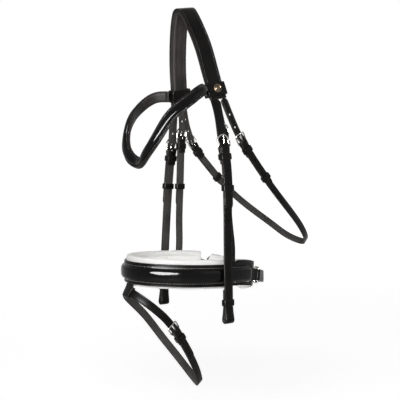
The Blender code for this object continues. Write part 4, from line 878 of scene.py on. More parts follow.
print("Corner radius of a strap", CORNER, "m")

# %% [markdown]
# ## Holes and slots
# Straps are punched: round holes for the buckle's tongue, and a long slot where the tongue's
# eye goes round the bar. A Boolean with a punch-shaped cutter does the same. Its modifier is
# applied at once, so the finished strap is plain mesh.

# %% Punch a piece
TONGUE_RADIUS = 0.0008
SLOT_PLAY = 0.0005
HOLE_RADIUS = 0.0018
HOLE_PITCH = 0.022
SLOT_LENGTH = 0.0114
PUNCH_SIDES = 20
PUNCH_THROUGH = 0.002


def frame_matrix(centre, axes, halves):
    """Places a unit shape: its X, Y and Z along the axes, at the given half sizes."""
    matrix = Matrix([axis * half for axis, half in zip(axes, halves)]).transposed().to_4x4()
    return Matrix.Translation(centre) @ matrix


def apply_modifiers(piece):
    graph = bpy.context.evaluated_depsgraph_get()
    mesh = bpy.data.meshes.new_from_object(piece.evaluated_get(graph), depsgraph=graph)
    old = piece.data
    piece.modifiers.clear()
    piece.data = mesh
    mesh.name = piece.name
    bpy.data.meshes.remove(old)


def punch(piece, pins=(), blocks=()):
    """Cuts oblong pins and blocks, each given by its centre, axes and half sizes."""
    sheet = bmesh.new()
    for centre, axes, halves in blocks:
        bmesh.ops.create_cube(sheet, size=2.0, matrix=frame_matrix(centre, axes, halves))
    for centre, axes, (long, wide, deep) in pins:
        pin = bmesh.ops.create_cone(sheet, cap_ends=True, segments=PUNCH_SIDES, radius1=wide,
                                    radius2=wide, depth=2 * deep)
        for vert in pin["verts"]:
            vert.co.x += math.copysign(long - wide, vert.co.x)
        bmesh.ops.transform(sheet, matrix=frame_matrix(centre, axes, (1, 1, 1)), verts=pin["verts"])
    bmesh.ops.recalc_face_normals(sheet, faces=sheet.faces)
    mesh = bpy.data.meshes.new("punch")
    sheet.to_mesh(mesh)
    sheet.free()
    tool = bpy.data.objects.new("punch", mesh)
    bpy.context.scene.collection.objects.link(tool)
    boolean = piece.modifiers.new("Punch", "BOOLEAN")
    boolean.operation = "DIFFERENCE"
    boolean.solver = "EXACT"
    boolean.object = tool
    apply_modifiers(piece)
    bpy.data.objects.remove(tool, do_unlink=True)
    bpy.data.meshes.remove(mesh)


print("Punched holes are", HOLE_RADIUS * 2000, "mm across")

# %% [markdown]
# ## Buckles
# Each buckle has a wire frame, a tongue with an eye round the frame's heel bar, and the two
# layers that it joins: the strap, folded round the bar, and the billet, which comes from
# above, dips under the frame and lies on the strap. This class holds their levels.

# %% Levels of a buckle
FRAME_RISE = 0.0030
FRAME_CORNER = 0.0022
FOLD_LENGTH = 0.026
TIP_LENGTH = 0.010
FOLD_STEPS = 16


class Seat:
    """Buckle coordinates: d runs from the heel bar into the strap that holds it."""

    def __init__(self, route, heel, sign=1):
        self.route, self.heel, self.sign = route, heel, sign

    def place(self, d, out=0.0, across=0.0):
        return self.route.place(self.heel + self.sign * d, out, across)

    def axes(self, d):
        along, across, out = self.route.axes(self.heel + self.sign * d)
        return self.sign * along, across, out

    def path(self, pairs, half):
        """A path in the route's own lengths, from pairs of (d, out)."""
        return [(self.heel + self.sign * d, out, half) for d, out in pairs]


def fold_pairs(bar, leather, back, taper):
    """(d, out) along a strap end folded round a bar, from the back layer to the front."""
    middle = -(leather + GAP) / 2
    reach = bar + GAP + leather / 2
    flare = reach + middle
    pairs = [(back, 2 * middle), (taper, 2 * middle), (taper / 2, 2 * middle - flare * 0.4)]
    for k in range(FOLD_STEPS + 1):
        turn = math.pi * k / FOLD_STEPS
        pairs.append((-reach * math.sin(turn), middle - reach * math.cos(turn)))
    return pairs + [(taper / 2, flare * 0.4), (taper, 0.0)]


class Buckle:
    """Sizes and levels of one buckle and of the layers that it joins."""

    def __init__(self, bar, half, height, width, strap, rise=FRAME_RISE, sink=None, pile=0.0,
                 billet=None, round_top=False):
        billet = strap if billet is None else billet
        self.bar, self.half, self.height = bar, half, height
        self.strap, self.billet, self.rise, self.round_top = strap, billet, rise, round_top
        self.sink = -(strap + GAP) / 2 if sink is None else sink
        self.reach = bar + GAP + strap / 2
        self.pin = bar + GAP + TONGUE_RADIUS
        self.crossing = height
        if round_top:
            self.crossing += math.sqrt(half * half - width * width / 4) - half
        self.under = self.level(-self.crossing) - bar - GAP - billet / 2
        self.over = self.sink + self.reach + strap / 2 + GAP + billet / 2
        self.lie = pile + strap / 2 + GAP + billet / 2
        self.fold_top = self.sink + self.reach + strap / 2 + GAP / 2

    def level(self, d):
        """The frame's height above the strap at d."""
        return self.sink + self.rise * -d / self.height

    def billet_pairs(self, tip):
        """(d, out) of a billet's centre from under the frame, over the heel bar, to its tip."""
        bar = self.bar
        pairs = [(-self.height - FOLD_TAPER, self.under), (bar * 1.8 - self.crossing, self.under)]
        pairs += [(-bar * 3, (self.under + self.over * 4) / 5), (-bar, self.over)]
        pairs += [(bar, self.over), (FOLD_TAPER * 0.55, (self.over + self.lie) / 2)]
        return pairs + [(FOLD_TAPER, self.lie), (tip, self.lie)]


# Each has its bar's radius, half width and height, then the strap's width and leather.
CHEEK_BUCKLE = Buckle(0.0013, 0.0108, 0.0205, CHEEK_WIDTH, STRAP_LEATHER, billet=BILLET_LEATHER,
                      round_top=True)
HANGER_BUCKLE = Buckle(0.0012, 0.0098, 0.0170, HANGER_WIDTH, LIGHT_LEATHER, round_top=True)
THROAT_BUCKLE = Buckle(0.0012, 0.0088, 0.0160, THROAT_WIDTH, LIGHT_LEATHER)
FLASH_BUCKLE = Buckle(0.0012, 0.0088, 0.0150, FLASH_WIDTH, LIGHT_LEATHER)
print("Billet over the cheek buckle's bar", round(CHEEK_BUCKLE.over * 1000, 2), "mm")

# %% [markdown]
# The frame and the tongue are round bar, so a curve with a round bevel is the natural tool: it
# is bent through its points and made a mesh once. The tongue is open at its eye, as a real one
# is before it is closed on the bar, and its point is rounded off.

# %% Frames and tongues of round bar
TUBE_SIDES = 4
TONGUE_OVERHANG = 0.0012
TONGUE_EYE_TURN = 272
TONGUE_SHARES = (0.25, 0.5, 0.75, 0.97, 1.0)
TONGUE_POINT = 0.55
SLOT_REACH = 0.004


def rounded_box(half, low, high, corner, steps=6):
    """A rectangle with rounded corners, as points (x, y) in order."""
    points = []
    for k, (x, y) in enumerate(((1, 1), (-1, 1), (-1, -1), (1, -1))):
        centre = (x * (half - corner), high - corner if y > 0 else low + corner)
        for j in range(steps + 1):
            turn = math.radians(90 * (k + j / steps))
            points.append((centre[0] + corner * math.cos(turn),
                           centre[1] + corner * math.sin(turn)))
    return points


def bar_piece(node, points, radius, body, closed=False, tip=1.0):
    """Round bar bent through points, in place of a steel node."""
    curve = bpy.data.curves.new(node, "CURVE")
    curve.dimensions = "3D"
    curve.bevel_depth = radius
    curve.bevel_resolution = TUBE_SIDES
    curve.use_fill_caps = not closed
    spline = curve.splines.new("POLY")
    spline.points.add(len(points) - 1)
    for knot, point in zip(spline.points, points):
        knot.co = (*point, 1.0)
    spline.points[-1].radius = tip
    spline.use_cyclic_u = closed
    bent = bpy.data.objects.new(node + "_bar", curve)
    bpy.context.scene.collection.objects.link(bent)
    graph = bpy.context.evaluated_depsgraph_get()
    mesh = bpy.data.meshes.new_from_object(bent.evaluated_get(graph), depsgraph=graph)
    sheet = bmesh.new()
    sheet.from_mesh(mesh)
    bmesh.ops.remove_doubles(sheet, verts=sheet.verts, dist=MERGE)
    bmesh.ops.recalc_face_normals(sheet, faces=sheet.faces)
    bpy.data.objects.remove(bent, do_unlink=True)
    bpy.data.meshes.remove(mesh)
    bpy.data.curves.remove(curve)
    return finish_piece("fine_" + node, sheet, (bright_steel,), body, node)


def buckle_frame(node, buckle, seat, body):
    half, height, corner = buckle.half, buckle.height, FRAME_CORNER
    if buckle.round_top:
        outline = [(half * math.cos(turn), half - height - half * math.sin(turn))
                   for turn in np.linspace(0, math.pi, 20)]
        outline += [(x, y) for x, y in rounded_box(half, -height, 0.0, corner)
                    if y > -corner * 1.01][::-1]
        outline = [(x, y) for k, (x, y) in enumerate(outline) if k == 0 or (x, y) != outline[k - 1]]
    else:
        outline = rounded_box(half, -height, 0.0, corner)
    points = [seat.place(d, buckle.level(d), across) for across, d in outline]
    return bar_piece(node, points, buckle.bar, body, closed=True)


def buckle_tongue(node, buckle, seat, body):
    points = []
    for turn in np.linspace(math.radians(TONGUE_EYE_TURN), 0.0, 18):
        points.append(seat.place(buckle.pin * math.sin(turn),
                                 buckle.sink + buckle.pin * math.cos(turn)))
    for share in TONGUE_SHARES:
        d = -(buckle.height + TONGUE_OVERHANG) * share
        points.append(seat.place(d, buckle.level(d) + buckle.pin))
    return bar_piece(node, points, TONGUE_RADIUS, body, tip=TONGUE_POINT)


def tongue_slot(piece, buckle, seat, low=None, high=None):
    """Clears the strap's fold where the tongue's eye goes round the heel bar."""
    low = buckle.sink - buckle.reach - SLOT_REACH if low is None else low
    high = buckle.sink + buckle.reach + SLOT_REACH if high is None else high
    ahead = -(buckle.reach + buckle.strap / 2 + SLOT_PLAY)
    behind = buckle.pin + TONGUE_RADIUS + SLOT_PLAY
    middle = (ahead + behind) / 2
    halves = ((behind - ahead) / 2, TONGUE_RADIUS + SLOT_PLAY, (high - low) / 2)
    punch(piece, blocks=[(seat.place(middle, (low + high) / 2), seat.axes(middle), halves)])


def billet_holes(piece, buckle, seat, above, below):
    """The hole that the tongue goes through, and spare holes at an even pitch."""
    depth = buckle.billet + PUNCH_THROUGH
    middle = -SLOT_LENGTH / 2 - buckle.bar
    level = (buckle.under + buckle.over) / 2
    halves = (SLOT_LENGTH / 2, TONGUE_RADIUS + SLOT_PLAY, depth + PUNCH_THROUGH)
    pins = [(seat.place(middle, level), seat.axes(middle), halves)]
    spare = (HOLE_RADIUS, HOLE_RADIUS, depth)
    for k in range(1, above + 1):
        d = middle - HOLE_PITCH * k
        pins.append((seat.place(d, buckle.under), seat.axes(d), spare))
    for k in range(2, below + 2):
        d = middle + HOLE_PITCH * k
        pins.append((seat.place(d, buckle.lie), seat.axes(d), spare))
    punch(piece, pins=pins)


print("Frames are bar of", CHEEK_BUCKLE.bar * 2000, "mm")

# %% [markdown]
# A billet is a strap end with a tip cut to a blunt point, and sometimes a rounded start where
# it is sewn on. Both shapes are widths along its length, so they go into the path.

# %% Billets
TIP_BLUNT = 0.91
TIP_CURVE = 2.4
ROUND_START = 0.06


def tip_share(distance):
    """Width of a strap tip as a share of the strap's, at a distance from its end."""
    depth = 1 - min(distance / TIP_LENGTH, 1.0)
    return math.sqrt(1 - TIP_BLUNT * depth**TIP_CURVE)


def round_share(distance, radius):
    depth = 1 - min(distance / radius, 1.0)
    return math.sqrt(max(1 - depth * depth, ROUND_START))


def billet_path(buckle, seat, tip, half, rounded):
    """From the strap's root, under the frame and over the bar, to the tip."""
    lead = [(-seat.heel, 0.0), (-buckle.height - FOLD_TAPER, buckle.under)]
    path = eased(seat.path(lead + buckle.billet_pairs(tip)[1:], half))
    run = np.concatenate([[0.0], np.cumsum(np.linalg.norm(np.diff(path[:, :2], axis=0), axis=1))])
    for row, distance in zip(path, run):
        row[2] = half * tip_share(run[-1] - distance)
        if rounded:
            row[2] *= round_share(distance, half)
    return path


def cut_tip(path):
    """Narrows the end of an eased path to a tip."""
    for k in range(1, round(TIP_LENGTH / PATH_STEP) + 2):
        path[-k][2] *= tip_share((k - 1) * PATH_STEP)
    return path


print("A tip narrows over", TIP_LENGTH * 1000, "mm")

# %% [markdown]
# ## Keepers and runners
# Keepers are loops of thinner leather that hold a billet down. A fixed keeper is sewn to the
# strap, a runner slides. The loop's outline is a rounded rectangle round all the layers, and
# the strip's cut end is carried round it, with the strap's length as its width.

# %% Make a leather loop
KEEPER_LEATHER = 0.0015
KEEPER_HEIGHT = 0.0095
KEEPER_PLACE = 0.0145
KEEPER_STEP = 0.002
CREASED_FROM = 0.015
RUNNER_PLAY = 0.0005


def make_band(node, place, d, height, half, low, high, body, solid=True, wall=KEEPER_LEATHER,
              play=GAP):
    """A leather loop at d round whatever lies between low and high.

    A loop without a solid of its own belongs to its strap's solid in the CAD."""
    room = play + wall / 2
    outline = rounded_box(half + room, low - room, high + room, KEEPER_LEATHER)
    fine = []
    for (x0, y0), (x1, y1) in zip(outline, outline[1:] + outline[:1]):
        count = max(1, round(math.dist((x0, y0), (x1, y1)) / KEEPER_STEP))
        fine += [(x0 + (x1 - x0) * k / count, y0 + (y1 - y0) * k / count) for k in range(count)]
    rows = []
    for across, out in fine:
        ahead, behind = place(d + height / 2, out, across), place(d - height / 2, out, across)
        rows.append([*(ahead + behind) / 2, *(ahead - behind) / 2, 0.0, 0.0, 0.0])
    sheet = strap_sheet(np.array(rows), wall, creased=height > CREASED_FROM, closed=True)
    name, replaced = ("fine_" + node, node) if solid else (node, None)
    return finish_piece(name, sheet, LEATHER, body, replaced)


def fit_buckle(kind, tail, buckle, seat, half, body, run=None, solid=False):
    """The frame, sewn keeper, tongue and runner of a buckle, each on its own body."""
    high = buckle.lie + buckle.billet / 2
    low = -(buckle.strap + GAP) - buckle.strap / 2
    if not solid:
        low += KEEPER_LEATHER / 2 + GAP
    buckle_frame(f"{kind}_buckle_frame{tail}", buckle, seat, body)
    make_band(f"{kind}_keeper{tail}", seat.place, KEEPER_PLACE, KEEPER_HEIGHT, half, low, high,
              body, solid)
    buckle_tongue(f"{kind}_buckle_tongue{tail}", buckle, seat, f"{kind}_tongue{tail}")
    if run is not None:
        make_band(f"{kind}_runner{tail}", seat.place, run, KEEPER_HEIGHT, half,
                  -buckle.strap / 2, high, f"{kind}_slider{tail}", play=RUNNER_PLAY)


print("Keepers are", KEEPER_HEIGHT * 1000, "mm high")

# %% [markdown]
# ## Stitching
# Saddle stitch shows as short slanting dashes, about eight to the inch. Each dash here is a
# small sphere with few faces, drawn out along the seam. They are real shapes and not only a
# bump, because they catch the light in a dotted line, as the photograph shows on the noseband.
# There the cord's lighter grey is a painted glint on black thread.
# Each of these seams has a twin at the other edge, so one call sews both.

# %% Sew a seam
STITCH_PITCH = 0.0031
STITCH_SIZE = (0.00034, 0.00030, 0.00120)
STITCH_SLANT = math.radians(9)
STITCH_SIDES = 6
STITCH_RINGS = 4
SEAM_INSET = 0.0030


def sew(sheet, seat, start, end, out, inset, raised=0.0):
    """Adds twin lines of stitches. Their level and inset are numbers or functions."""
    count = max(1, round(abs(end - start) / STITCH_PITCH))
    for side in (1, -1):
        for k in range(count):
            s = start + (end - start) * (k + 0.5) / count
            level = out(s) if callable(out) else out
            aside = raised + side * (inset(s) if callable(inset) else inset)
            along, wide, up = seat.axes(s)
            lean = along * math.cos(STITCH_SLANT) + wide * math.sin(STITCH_SLANT)
            square = wide * math.cos(STITCH_SLANT) - along * math.sin(STITCH_SLANT)
            matrix = frame_matrix(seat.place(s, level, aside), (square, up, lean), STITCH_SIZE)
            bmesh.ops.create_uvsphere(sheet, u_segments=STITCH_SIDES, v_segments=STITCH_RINGS,
                                      radius=1.0, matrix=matrix)


def fold_seam(seat, half, leather):
    """The twin seams beside a strap's fold, as what sew is given."""
    return seat, FOLD_TAPER * 1.1, FOLD_LENGTH, leather / 2, half - SEAM_INSET


def make_seams(name, cord, body, *seams):
    """One piece of all the stitches in these seams."""
    sheet = bmesh.new()
    for seam in seams:
        sew(sheet, *seam)
    bmesh.ops.recalc_face_normals(sheet, faces=sheet.faces)
    print(name, "has", len(sheet.faces) // (STITCH_SIDES * STITCH_RINGS), "stitches")
    return finish_piece(name, sheet, (cord,), body, sharp=80)


print("Stitch pitch", STITCH_PITCH * 1000, "mm")

# %% [markdown]
# ## Padded forms
# A padded form is foam under thin leather: crowned in the middle, drawn in at its ends, with
# sewn channels where the foam is pinched down. It could be inflated by a cloth simulation. A
# wrapped grid with the crown and the channels in its outline keeps the seams exactly where the
# photograph shows them, and small bumps of noise along the seams give the gathered leather.

# %% Make a padded form
CHANNEL_WIDTH = 0.005
CHANNEL_DRAW = 0.20
COARSE_GATHER = 150
FINE_GATHER = 420
ROLL_COLUMNS = 22


def end_swell(distance, reach):
    """Fullness of a form near its end, from 0 to 1."""
    share = min(max(distance / reach, 0.0), 1.0)
    return math.sqrt(max(1 - (1 - share) ** 3, 0.0))


def pinch(offset):
    """How far a sewn channel is drawn in, from 0 to 1, at an offset in channel widths."""
    return 0.5 * (1 + math.cos(math.pi * min(abs(offset), 1.0)))


def channel_draw(s, channels):
    """How far the sewn channels draw a form in at length s, as a share of its depth."""
    return sum(CHANNEL_DRAW * pinch((s - channel) / CHANNEL_WIDTH) for channel in channels)


def padded_sheet(route, marks, half, depth, level, facing, shares, reach, raised=0.0,
                 channels=(), crumple=0.0):
    """A form along a route through its marks, from a closed outline of (across, rise)."""
    start, end = marks[0], marks[-1]
    outline = np.array(shares)
    rows = []
    for s in marks:
        swell = end_swell(min(s - start, end - s), reach)
        deep = depth(s) if callable(depth) else depth
        base = level(s) if callable(level) else level
        wide = half * min(1.0, 0.25 + swell)
        swell = max(swell - channel_draw(s, channels) * min(swell, 1.0), 0.02)
        rows.append([
            route.place(s, base + facing * deep * rise * swell, raised + across * wide)
            for across, rise in outline
        ])
    sections = np.array(rows)
    if crumple:
        gather(sections, outline[:, 1] > 0.2, crumple)
    maps = np.zeros(sections.shape[:2])
    backs = np.zeros(len(outline), dtype=bool)
    return wrapped_grid(sections, np.array(marks) - start, maps, backs, False)


def gather(sections, rises, crumple):
    """Moves the points that rise off the base in and out by two sizes of noise."""
    away = sections - sections.mean(axis=1, keepdims=True)
    away /= np.linalg.norm(away, axis=2, keepdims=True) + 1e-9
    for i, row in enumerate(sections):
        for j in np.flatnonzero(rises):
            spot = Vector(row[j])
            wave = noise.noise(spot * COARSE_GATHER) + 0.5 * noise.noise(spot * FINE_GATHER)
            sections[i, j] = row[j] + away[i, j] * (crumple * wave)


def even_marks(start, end, spacing, reach=0.0):
    """Lengths from start to end, closer together near drawn-in ends."""
    marks = [start + (end - start) * k / round((end - start) / spacing)
             for k in range(round((end - start) / spacing) + 1)]
    close = [reach * (k / 8) ** 2 for k in range(8)] if reach else []
    inner = [s for s in marks if start + reach < s < end - reach] if reach else marks
    return sorted([start + c for c in close] + inner + [end - c for c in close])


def roll_outline(power):
    """A raised roll: a half round on a flat base. A higher power makes its top flatter."""
    points = []
    for turn in np.linspace(math.pi, 0.0, ROLL_COLUMNS):
        x, y = math.cos(turn), math.sin(turn)
        points.append((math.copysign(abs(x) ** (2 / power), x), abs(y) ** (2 / power)))
    return points + [(0.5, 0.0), (0.0, 0.0), (-0.5, 0.0)]


def make_pad(node, sheet, finish, body):
    piece = finish_piece("fine_" + node, sheet, (finish,), body, node, sharp=70)
    return piece


print("Roll outline has", len(roll_outline(2.4)), "points")

# %% [markdown]
# ## Headpiece
# The crown is one wide strap, and its pad of grey nappa is sewn on underneath, where it rests
# on the poll. In the photograph the pad shows a soft ridge along each side with a flatter
# middle, so its outline has two low ridges. It thins towards its ends. The leather runs half a
# millimetre on at its ends, up to the straps that hang there, so that no light shows between.

# %% Crown and its pad
ROW_STEP = 0.0025
CLOSE_UP = 0.0005
CROWN_PAD_REACH = 0.0015
CROWN_GATHER = 0.00022
CROWN_SEAM = 0.0122
SEAM_START = 0.006
CROWN_PAD_SHARES = [
    (-0.86, 0.00), (-0.96, 0.09), (-1.00, 0.30), (-0.985, 0.55), (-0.93, 0.77), (-0.84, 0.92),
    (-0.73, 0.98), (-0.62, 0.96), (-0.52, 0.90), (-0.44, 0.86), (-0.34, 0.88), (-0.18, 0.94),
    (0.00, 0.97),
]


def mirrored_shares(shares, base=(0.4,)):
    """An outline's other half, and its flat base."""
    base = [*base, *(-x for x in reversed(base))]
    return shares + [(-x, y) for x, y in shares[-2::-1]] + [(x, 0.0) for x in base]


def crown_pad_depth(s):
    share = abs(s - CROWN_END / 2) / (CROWN_END / 2)
    return CROWN_PAD_DEPTH + (CROWN_PAD_END_DEPTH - CROWN_PAD_DEPTH) * share * share


crown_marks = even_marks(-CLOSE_UP, CROWN_END + CLOSE_UP, ROW_STEP)
crown_rows = lay(CROWN[1], [(s, 0.0, CROWN_WIDTH / 2) for s in crown_marks])
make_strap("crown_leather", crown_rows, CROWN_LEATHER, "headpiece")
pad_marks = even_marks(0.0, CROWN_END, ROW_STEP, CROWN_PAD_REACH)
pad = padded_sheet(CROWN[1], pad_marks, CROWN_PAD_WIDTH / 2, crown_pad_depth,
                   -(CROWN_LEATHER / 2 + GAP), -1, mirrored_shares(CROWN_PAD_SHARES),
                   CROWN_PAD_REACH, crumple=CROWN_GATHER)
make_pad("crown_padding", pad, grey_nappa, "headpiece")
make_seams("crown_seams", black_cord, "headpiece",
           (Seat(CROWN[1], 0.0), SEAM_START, CROWN_END - SEAM_START, CROWN_LEATHER / 2, CROWN_SEAM))

# %% [markdown]
# ## Browband
# The browband is a strap with a raised roll of patent leather outside and a nappa lining
# inside. Both are padded forms on the strap's own route, so that they bend with it.

# %% Browband, roll and lining
BROW_LEATHER = 0.0025
BROW_WIDTH = 0.019
BROW_INSET = 0.0025
BROW_ROLL_WIDTH = 0.0125
BROW_ROLL_DEPTH = 0.0046
BROW_SEAM = BROW_ROLL_WIDTH / 2 + 0.0010
BROW_END = 0.010
BROW_LEVEL = BROW_LEATHER / 2 + GAP * 2
LINING_WIDTH = 0.0175
LINING_DEPTH = 0.0038
LINING_GATHER = 0.00018
LINING_SHARES = [
    (-0.90, 0.00), (-0.98, 0.12), (-1.00, 0.35), (-0.95, 0.65), (-0.84, 0.86), (-0.66, 0.95),
    (-0.40, 0.98), (0.00, 1.00),
]

brow_marks = even_marks(0.0, BROW.length, ROW_STEP)
brow_rows = lay(BROW, [(s, 0.0, BROW_WIDTH / 2) for s in brow_marks])
make_strap("browband_base", brow_rows, BROW_LEATHER, "browband", creased=False)
form_marks = even_marks(BROW_INSET, BROW.length - BROW_INSET, ROW_STEP, BROW_END)
roll = padded_sheet(BROW, form_marks, BROW_ROLL_WIDTH / 2, BROW_ROLL_DEPTH, BROW_LEVEL, 1,
                    roll_outline(2.4), BROW_END)
make_pad("browband_roll", roll, patent_leather, "browband")
lining = padded_sheet(BROW, form_marks, LINING_WIDTH / 2, LINING_DEPTH, -BROW_LEVEL, -1,
                      mirrored_shares(LINING_SHARES), BROW_END, crumple=LINING_GATHER)
make_pad("browband_lining", lining, grey_nappa, "browband")
make_seams("browband_seams", black_cord, "browband",
           (Seat(BROW, 0.0), SEAM_START, BROW.length - SEAM_START, BROW_LEATHER / 2, BROW_SEAM))

# %% [markdown]
# The browband's two loops slide on the crown, and a turned stud closes each: a plain dome with
# an enamelled groove and a rim. A profile is spun round the stud's axis, as on a lathe.

# %% Browband loops and studs
TURNED_STEPS = 48
LOOP_HEIGHT = 0.021
LOOP_SINK = 0.72
STUD_RADIUS = 0.0072
STUD_HEIGHT = 0.0024
STUD_GROOVE = (0.52 * STUD_RADIUS, 0.77 * STUD_RADIUS, 0.5 * STUD_HEIGHT)
STUD_SHARES = (
    (0.00, 0.98), (0.16, 0.97), (0.30, 0.94), (0.42, 0.88), (0.50, 0.80), (0.53, 0.66),
    (0.55, 0.60), (0.74, 0.60), (0.76, 0.68), (0.80, 0.90), (0.86, 0.99), (0.92, 0.92),
    (0.97, 0.76), (1.00, 0.50), (1.00, 0.06), (0.97, 0.00), (0.00, 0.00),
)


def turned_fitting(node, profile, finishes, body, centre, axes, groove=None):
    """A profile of (radius, height), spun round its axis and set in place.

    A groove, as inner radius, outer radius and lowest height, gets the second finish."""
    sheet = bmesh.new()
    verts = [sheet.verts.new((radius, 0.0, height)) for radius, height in profile]
    edges = [sheet.edges.new(pair) for pair in zip(verts, verts[1:])]
    bmesh.ops.spin(sheet, geom=verts + edges, cent=(0, 0, 0), axis=(0, 0, 1), angle=math.tau,
                   steps=TURNED_STEPS, use_merge=True)
    bmesh.ops.remove_doubles(sheet, verts=sheet.verts, dist=MERGE)
    if groove is not None:
        for face in sheet.faces:
            middle = face.calc_center_median()
            in_ring = groove[0] < math.hypot(middle.x, middle.y) < groove[1]
            face.material_index = int(in_ring and middle.z > groove[2])
    bmesh.ops.transform(sheet, matrix=frame_matrix(centre, axes, (1, 1, 1)), verts=sheet.verts)
    bmesh.ops.recalc_face_normals(sheet, faces=sheet.faces)
    return finish_piece("fine_" + node, sheet, finishes, body, node, sharp=50)


loop_low = -(CROWN_LEATHER / 2 + GAP + CROWN_PAD_DEPTH * LOOP_SINK)
stud_face = CROWN_LEATHER / 2 + LOOP_PLAY + LOOP_LEATHER + GAP
for tail, side in SIDES:
    crown = CROWN[side]
    make_band("browband_loop" + tail, crown.place, BROW_LOOP, LOOP_HEIGHT, CROWN_WIDTH / 2,
              loop_low, CROWN_LEATHER / 2, "browband", wall=LOOP_LEATHER, play=LOOP_PLAY)
    turned_fitting("browband_stud" + tail,
                   [(STUD_RADIUS * x, STUD_HEIGHT * y) for x, y in STUD_SHARES],
                   (aged_bronze, black_enamel), "browband", crown.place(BROW_LOOP, stud_face),
                   crown.axes(BROW_LOOP), STUD_GROOVE)
print("Studs are", STUD_RADIUS * 2000, "mm across")

# %% [markdown]
# ## Cheekpieces
# Each cheekpiece hangs from its billet by a buckle with a rounded top. At the foot the strap
# is folded round into an eye for the bit's ring, and closed behind by a hook stud, so that the
# bit can be changed.

# %% Make a cheekpiece
CHEEK_HEEL = 0.079
CHEEK_RUNNER = 0.064
CHEEK_TIP = 0.097
BIT_EYE = 0.0032
BIT_TAPER = 0.019
BIT_FOLD = 0.046
BIT_KEEPER_PLACE = 0.026
BIT_SEAM_LENGTH = 0.004
HOOK_STUD_PLACE = 0.037
HOOK_HOLE_RADIUS = 0.0015
HOOK_NECK = STRAP_LEATHER + GAP * 2
HOOK_PROFILE = [
    (0.0, 0.0), (0.0011, 0.0), (0.0012, 0.0001), (0.0012, HOOK_NECK), (0.0031, HOOK_NECK),
    (0.0034, HOOK_NECK + 0.0003), (0.0034, HOOK_NECK + 0.0007), (0.0030, HOOK_NECK + 0.0012),
    (0.0020, HOOK_NECK + 0.0016), (0.0, HOOK_NECK + 0.0018),
]

for tail, side in SIDES:
    route, buckle, half = CHEEK[side], CHEEK_BUCKLE, CHEEK_WIDTH / 2
    body = "cheekpiece" + tail
    seat = Seat(route, CHEEK_HEEL)
    path = billet_path(buckle, seat, CHEEK_TIP, half, False)
    billet = make_strap("cheek_billet" + tail, lay(route, path), BILLET_LEATHER, body)
    billet_holes(billet, buckle, seat, 1, 2)

    eye = Seat(route, route.length - BIT_EYE, -1)
    path = seat.path(fold_pairs(buckle.bar, STRAP_LEATHER, FOLD_LENGTH, FOLD_TAPER), half)
    path += eye.path(fold_pairs(BIT_EYE, STRAP_LEATHER, BIT_FOLD, BIT_TAPER)[::-1], half)
    strap = make_strap("cheek_strap" + tail, lay(route, eased(path)), STRAP_LEATHER, body)
    tongue_slot(strap, buckle, seat)
    back = -(STRAP_LEATHER + GAP)
    along, across, out = eye.axes(HOOK_STUD_PLACE)
    hole = (HOOK_HOLE_RADIUS, HOOK_HOLE_RADIUS, STRAP_LEATHER / 2 + GAP / 2)
    punch(strap, pins=[(eye.place(HOOK_STUD_PLACE, back), (along, across, out), hole)])

    fit_buckle("cheek", tail, buckle, seat, half, body, CHEEK_RUNNER, solid=True)
    make_band("bit_keeper" + tail, eye.place, BIT_KEEPER_PLACE, KEEPER_HEIGHT, half,
              back - STRAP_LEATHER / 2, STRAP_LEATHER / 2, body)
    turned_fitting("hook_stud" + tail, HOOK_PROFILE, (bright_steel,), body,
                   eye.place(HOOK_STUD_PLACE, -STRAP_LEATHER / 2 - GAP), (along, across, -out))
    eye_seam = BIT_TAPER * 1.05
    make_seams("cheek_seams" + tail, black_cord, body, fold_seam(seat, half, STRAP_LEATHER),
               (eye, eye_seam, eye_seam + BIT_SEAM_LENGTH, STRAP_LEATHER / 2, half - SEAM_INSET))

# %% [markdown]
# ## Noseband hangers
# The hangers carry the noseband. Each is a light strap that goes down between the noseband's
# leather and its white pad. Its billet starts with a rounded end sewn under the crown.

# %% Make a hanger
HANGER_HEEL = 0.057
HANGER_RUNNER = 0.085
HANGER_TIP = 0.120

for tail, side in SIDES:
    route, buckle, half = HANGER[side], HANGER_BUCKLE, HANGER_WIDTH / 2
    seat = Seat(route, HANGER_HEEL)
    path = billet_path(buckle, seat, HANGER_TIP, half, True)
    billet = make_strap("hanger_billet" + tail, lay(route, path), LIGHT_LEATHER, "noseband")
    billet_holes(billet, buckle, seat, 1, 2)
    path = seat.path(fold_pairs(buckle.bar, LIGHT_LEATHER, FOLD_LENGTH, FOLD_TAPER), half)
    path += [(route.length, 0.0, half)]
    strap = make_strap("hanger_strap" + tail, lay(route, eased(path)), LIGHT_LEATHER, "noseband")
    tongue_slot(strap, buckle, seat)
    fit_buckle("hanger", tail, buckle, seat, half, "noseband", HANGER_RUNNER)
    make_seams("hanger_seams" + tail, black_cord, "noseband", fold_seam(seat, half, LIGHT_LEATHER))

# %% [markdown]
# ## Noseband
# The noseband's leather is full width along the muzzle and narrows to its two rings. Outside
# lies a patent roll with a seam along each edge. At both ends the leather is folded round a
# ring of the crank, which pulls the noseband closed.

# %% Noseband leather and patent roll
CRANK_WIDTH = 0.019
CRANK_RING_WIRE = 0.0016
NARROWING = 0.030
NOSE_PAD_END = 0.012
NOSE_SEAM = NOSE_ROLL_WIDTH / 2 + 0.0013
NOSE_SEAM_START = 0.002
PAD_TURN, RING_TURN = 119, 128
PAD_REACH, NOSE_END = turn_place(PAD_TURN), turn_place(RING_TURN)
NOSE_LENGTH = NOSE[1].length
NOSE_LEVEL = BAND_LEATHER / 2 + GAP
nose_seat = Seat(NOSE[1], 0.0)


def band_half(s, end):
    """Half height of the noseband's leather: full along the sides, narrow at its rings."""
    share = min(max((end - abs(s - NOSE_LENGTH / 2)) / NARROWING, 0.0), 1.0)
    share = share * share * (3 - 2 * share)
    return (CRANK_WIDTH + (NOSE_BAND_HEIGHT - CRANK_WIDTH) * share) / 2


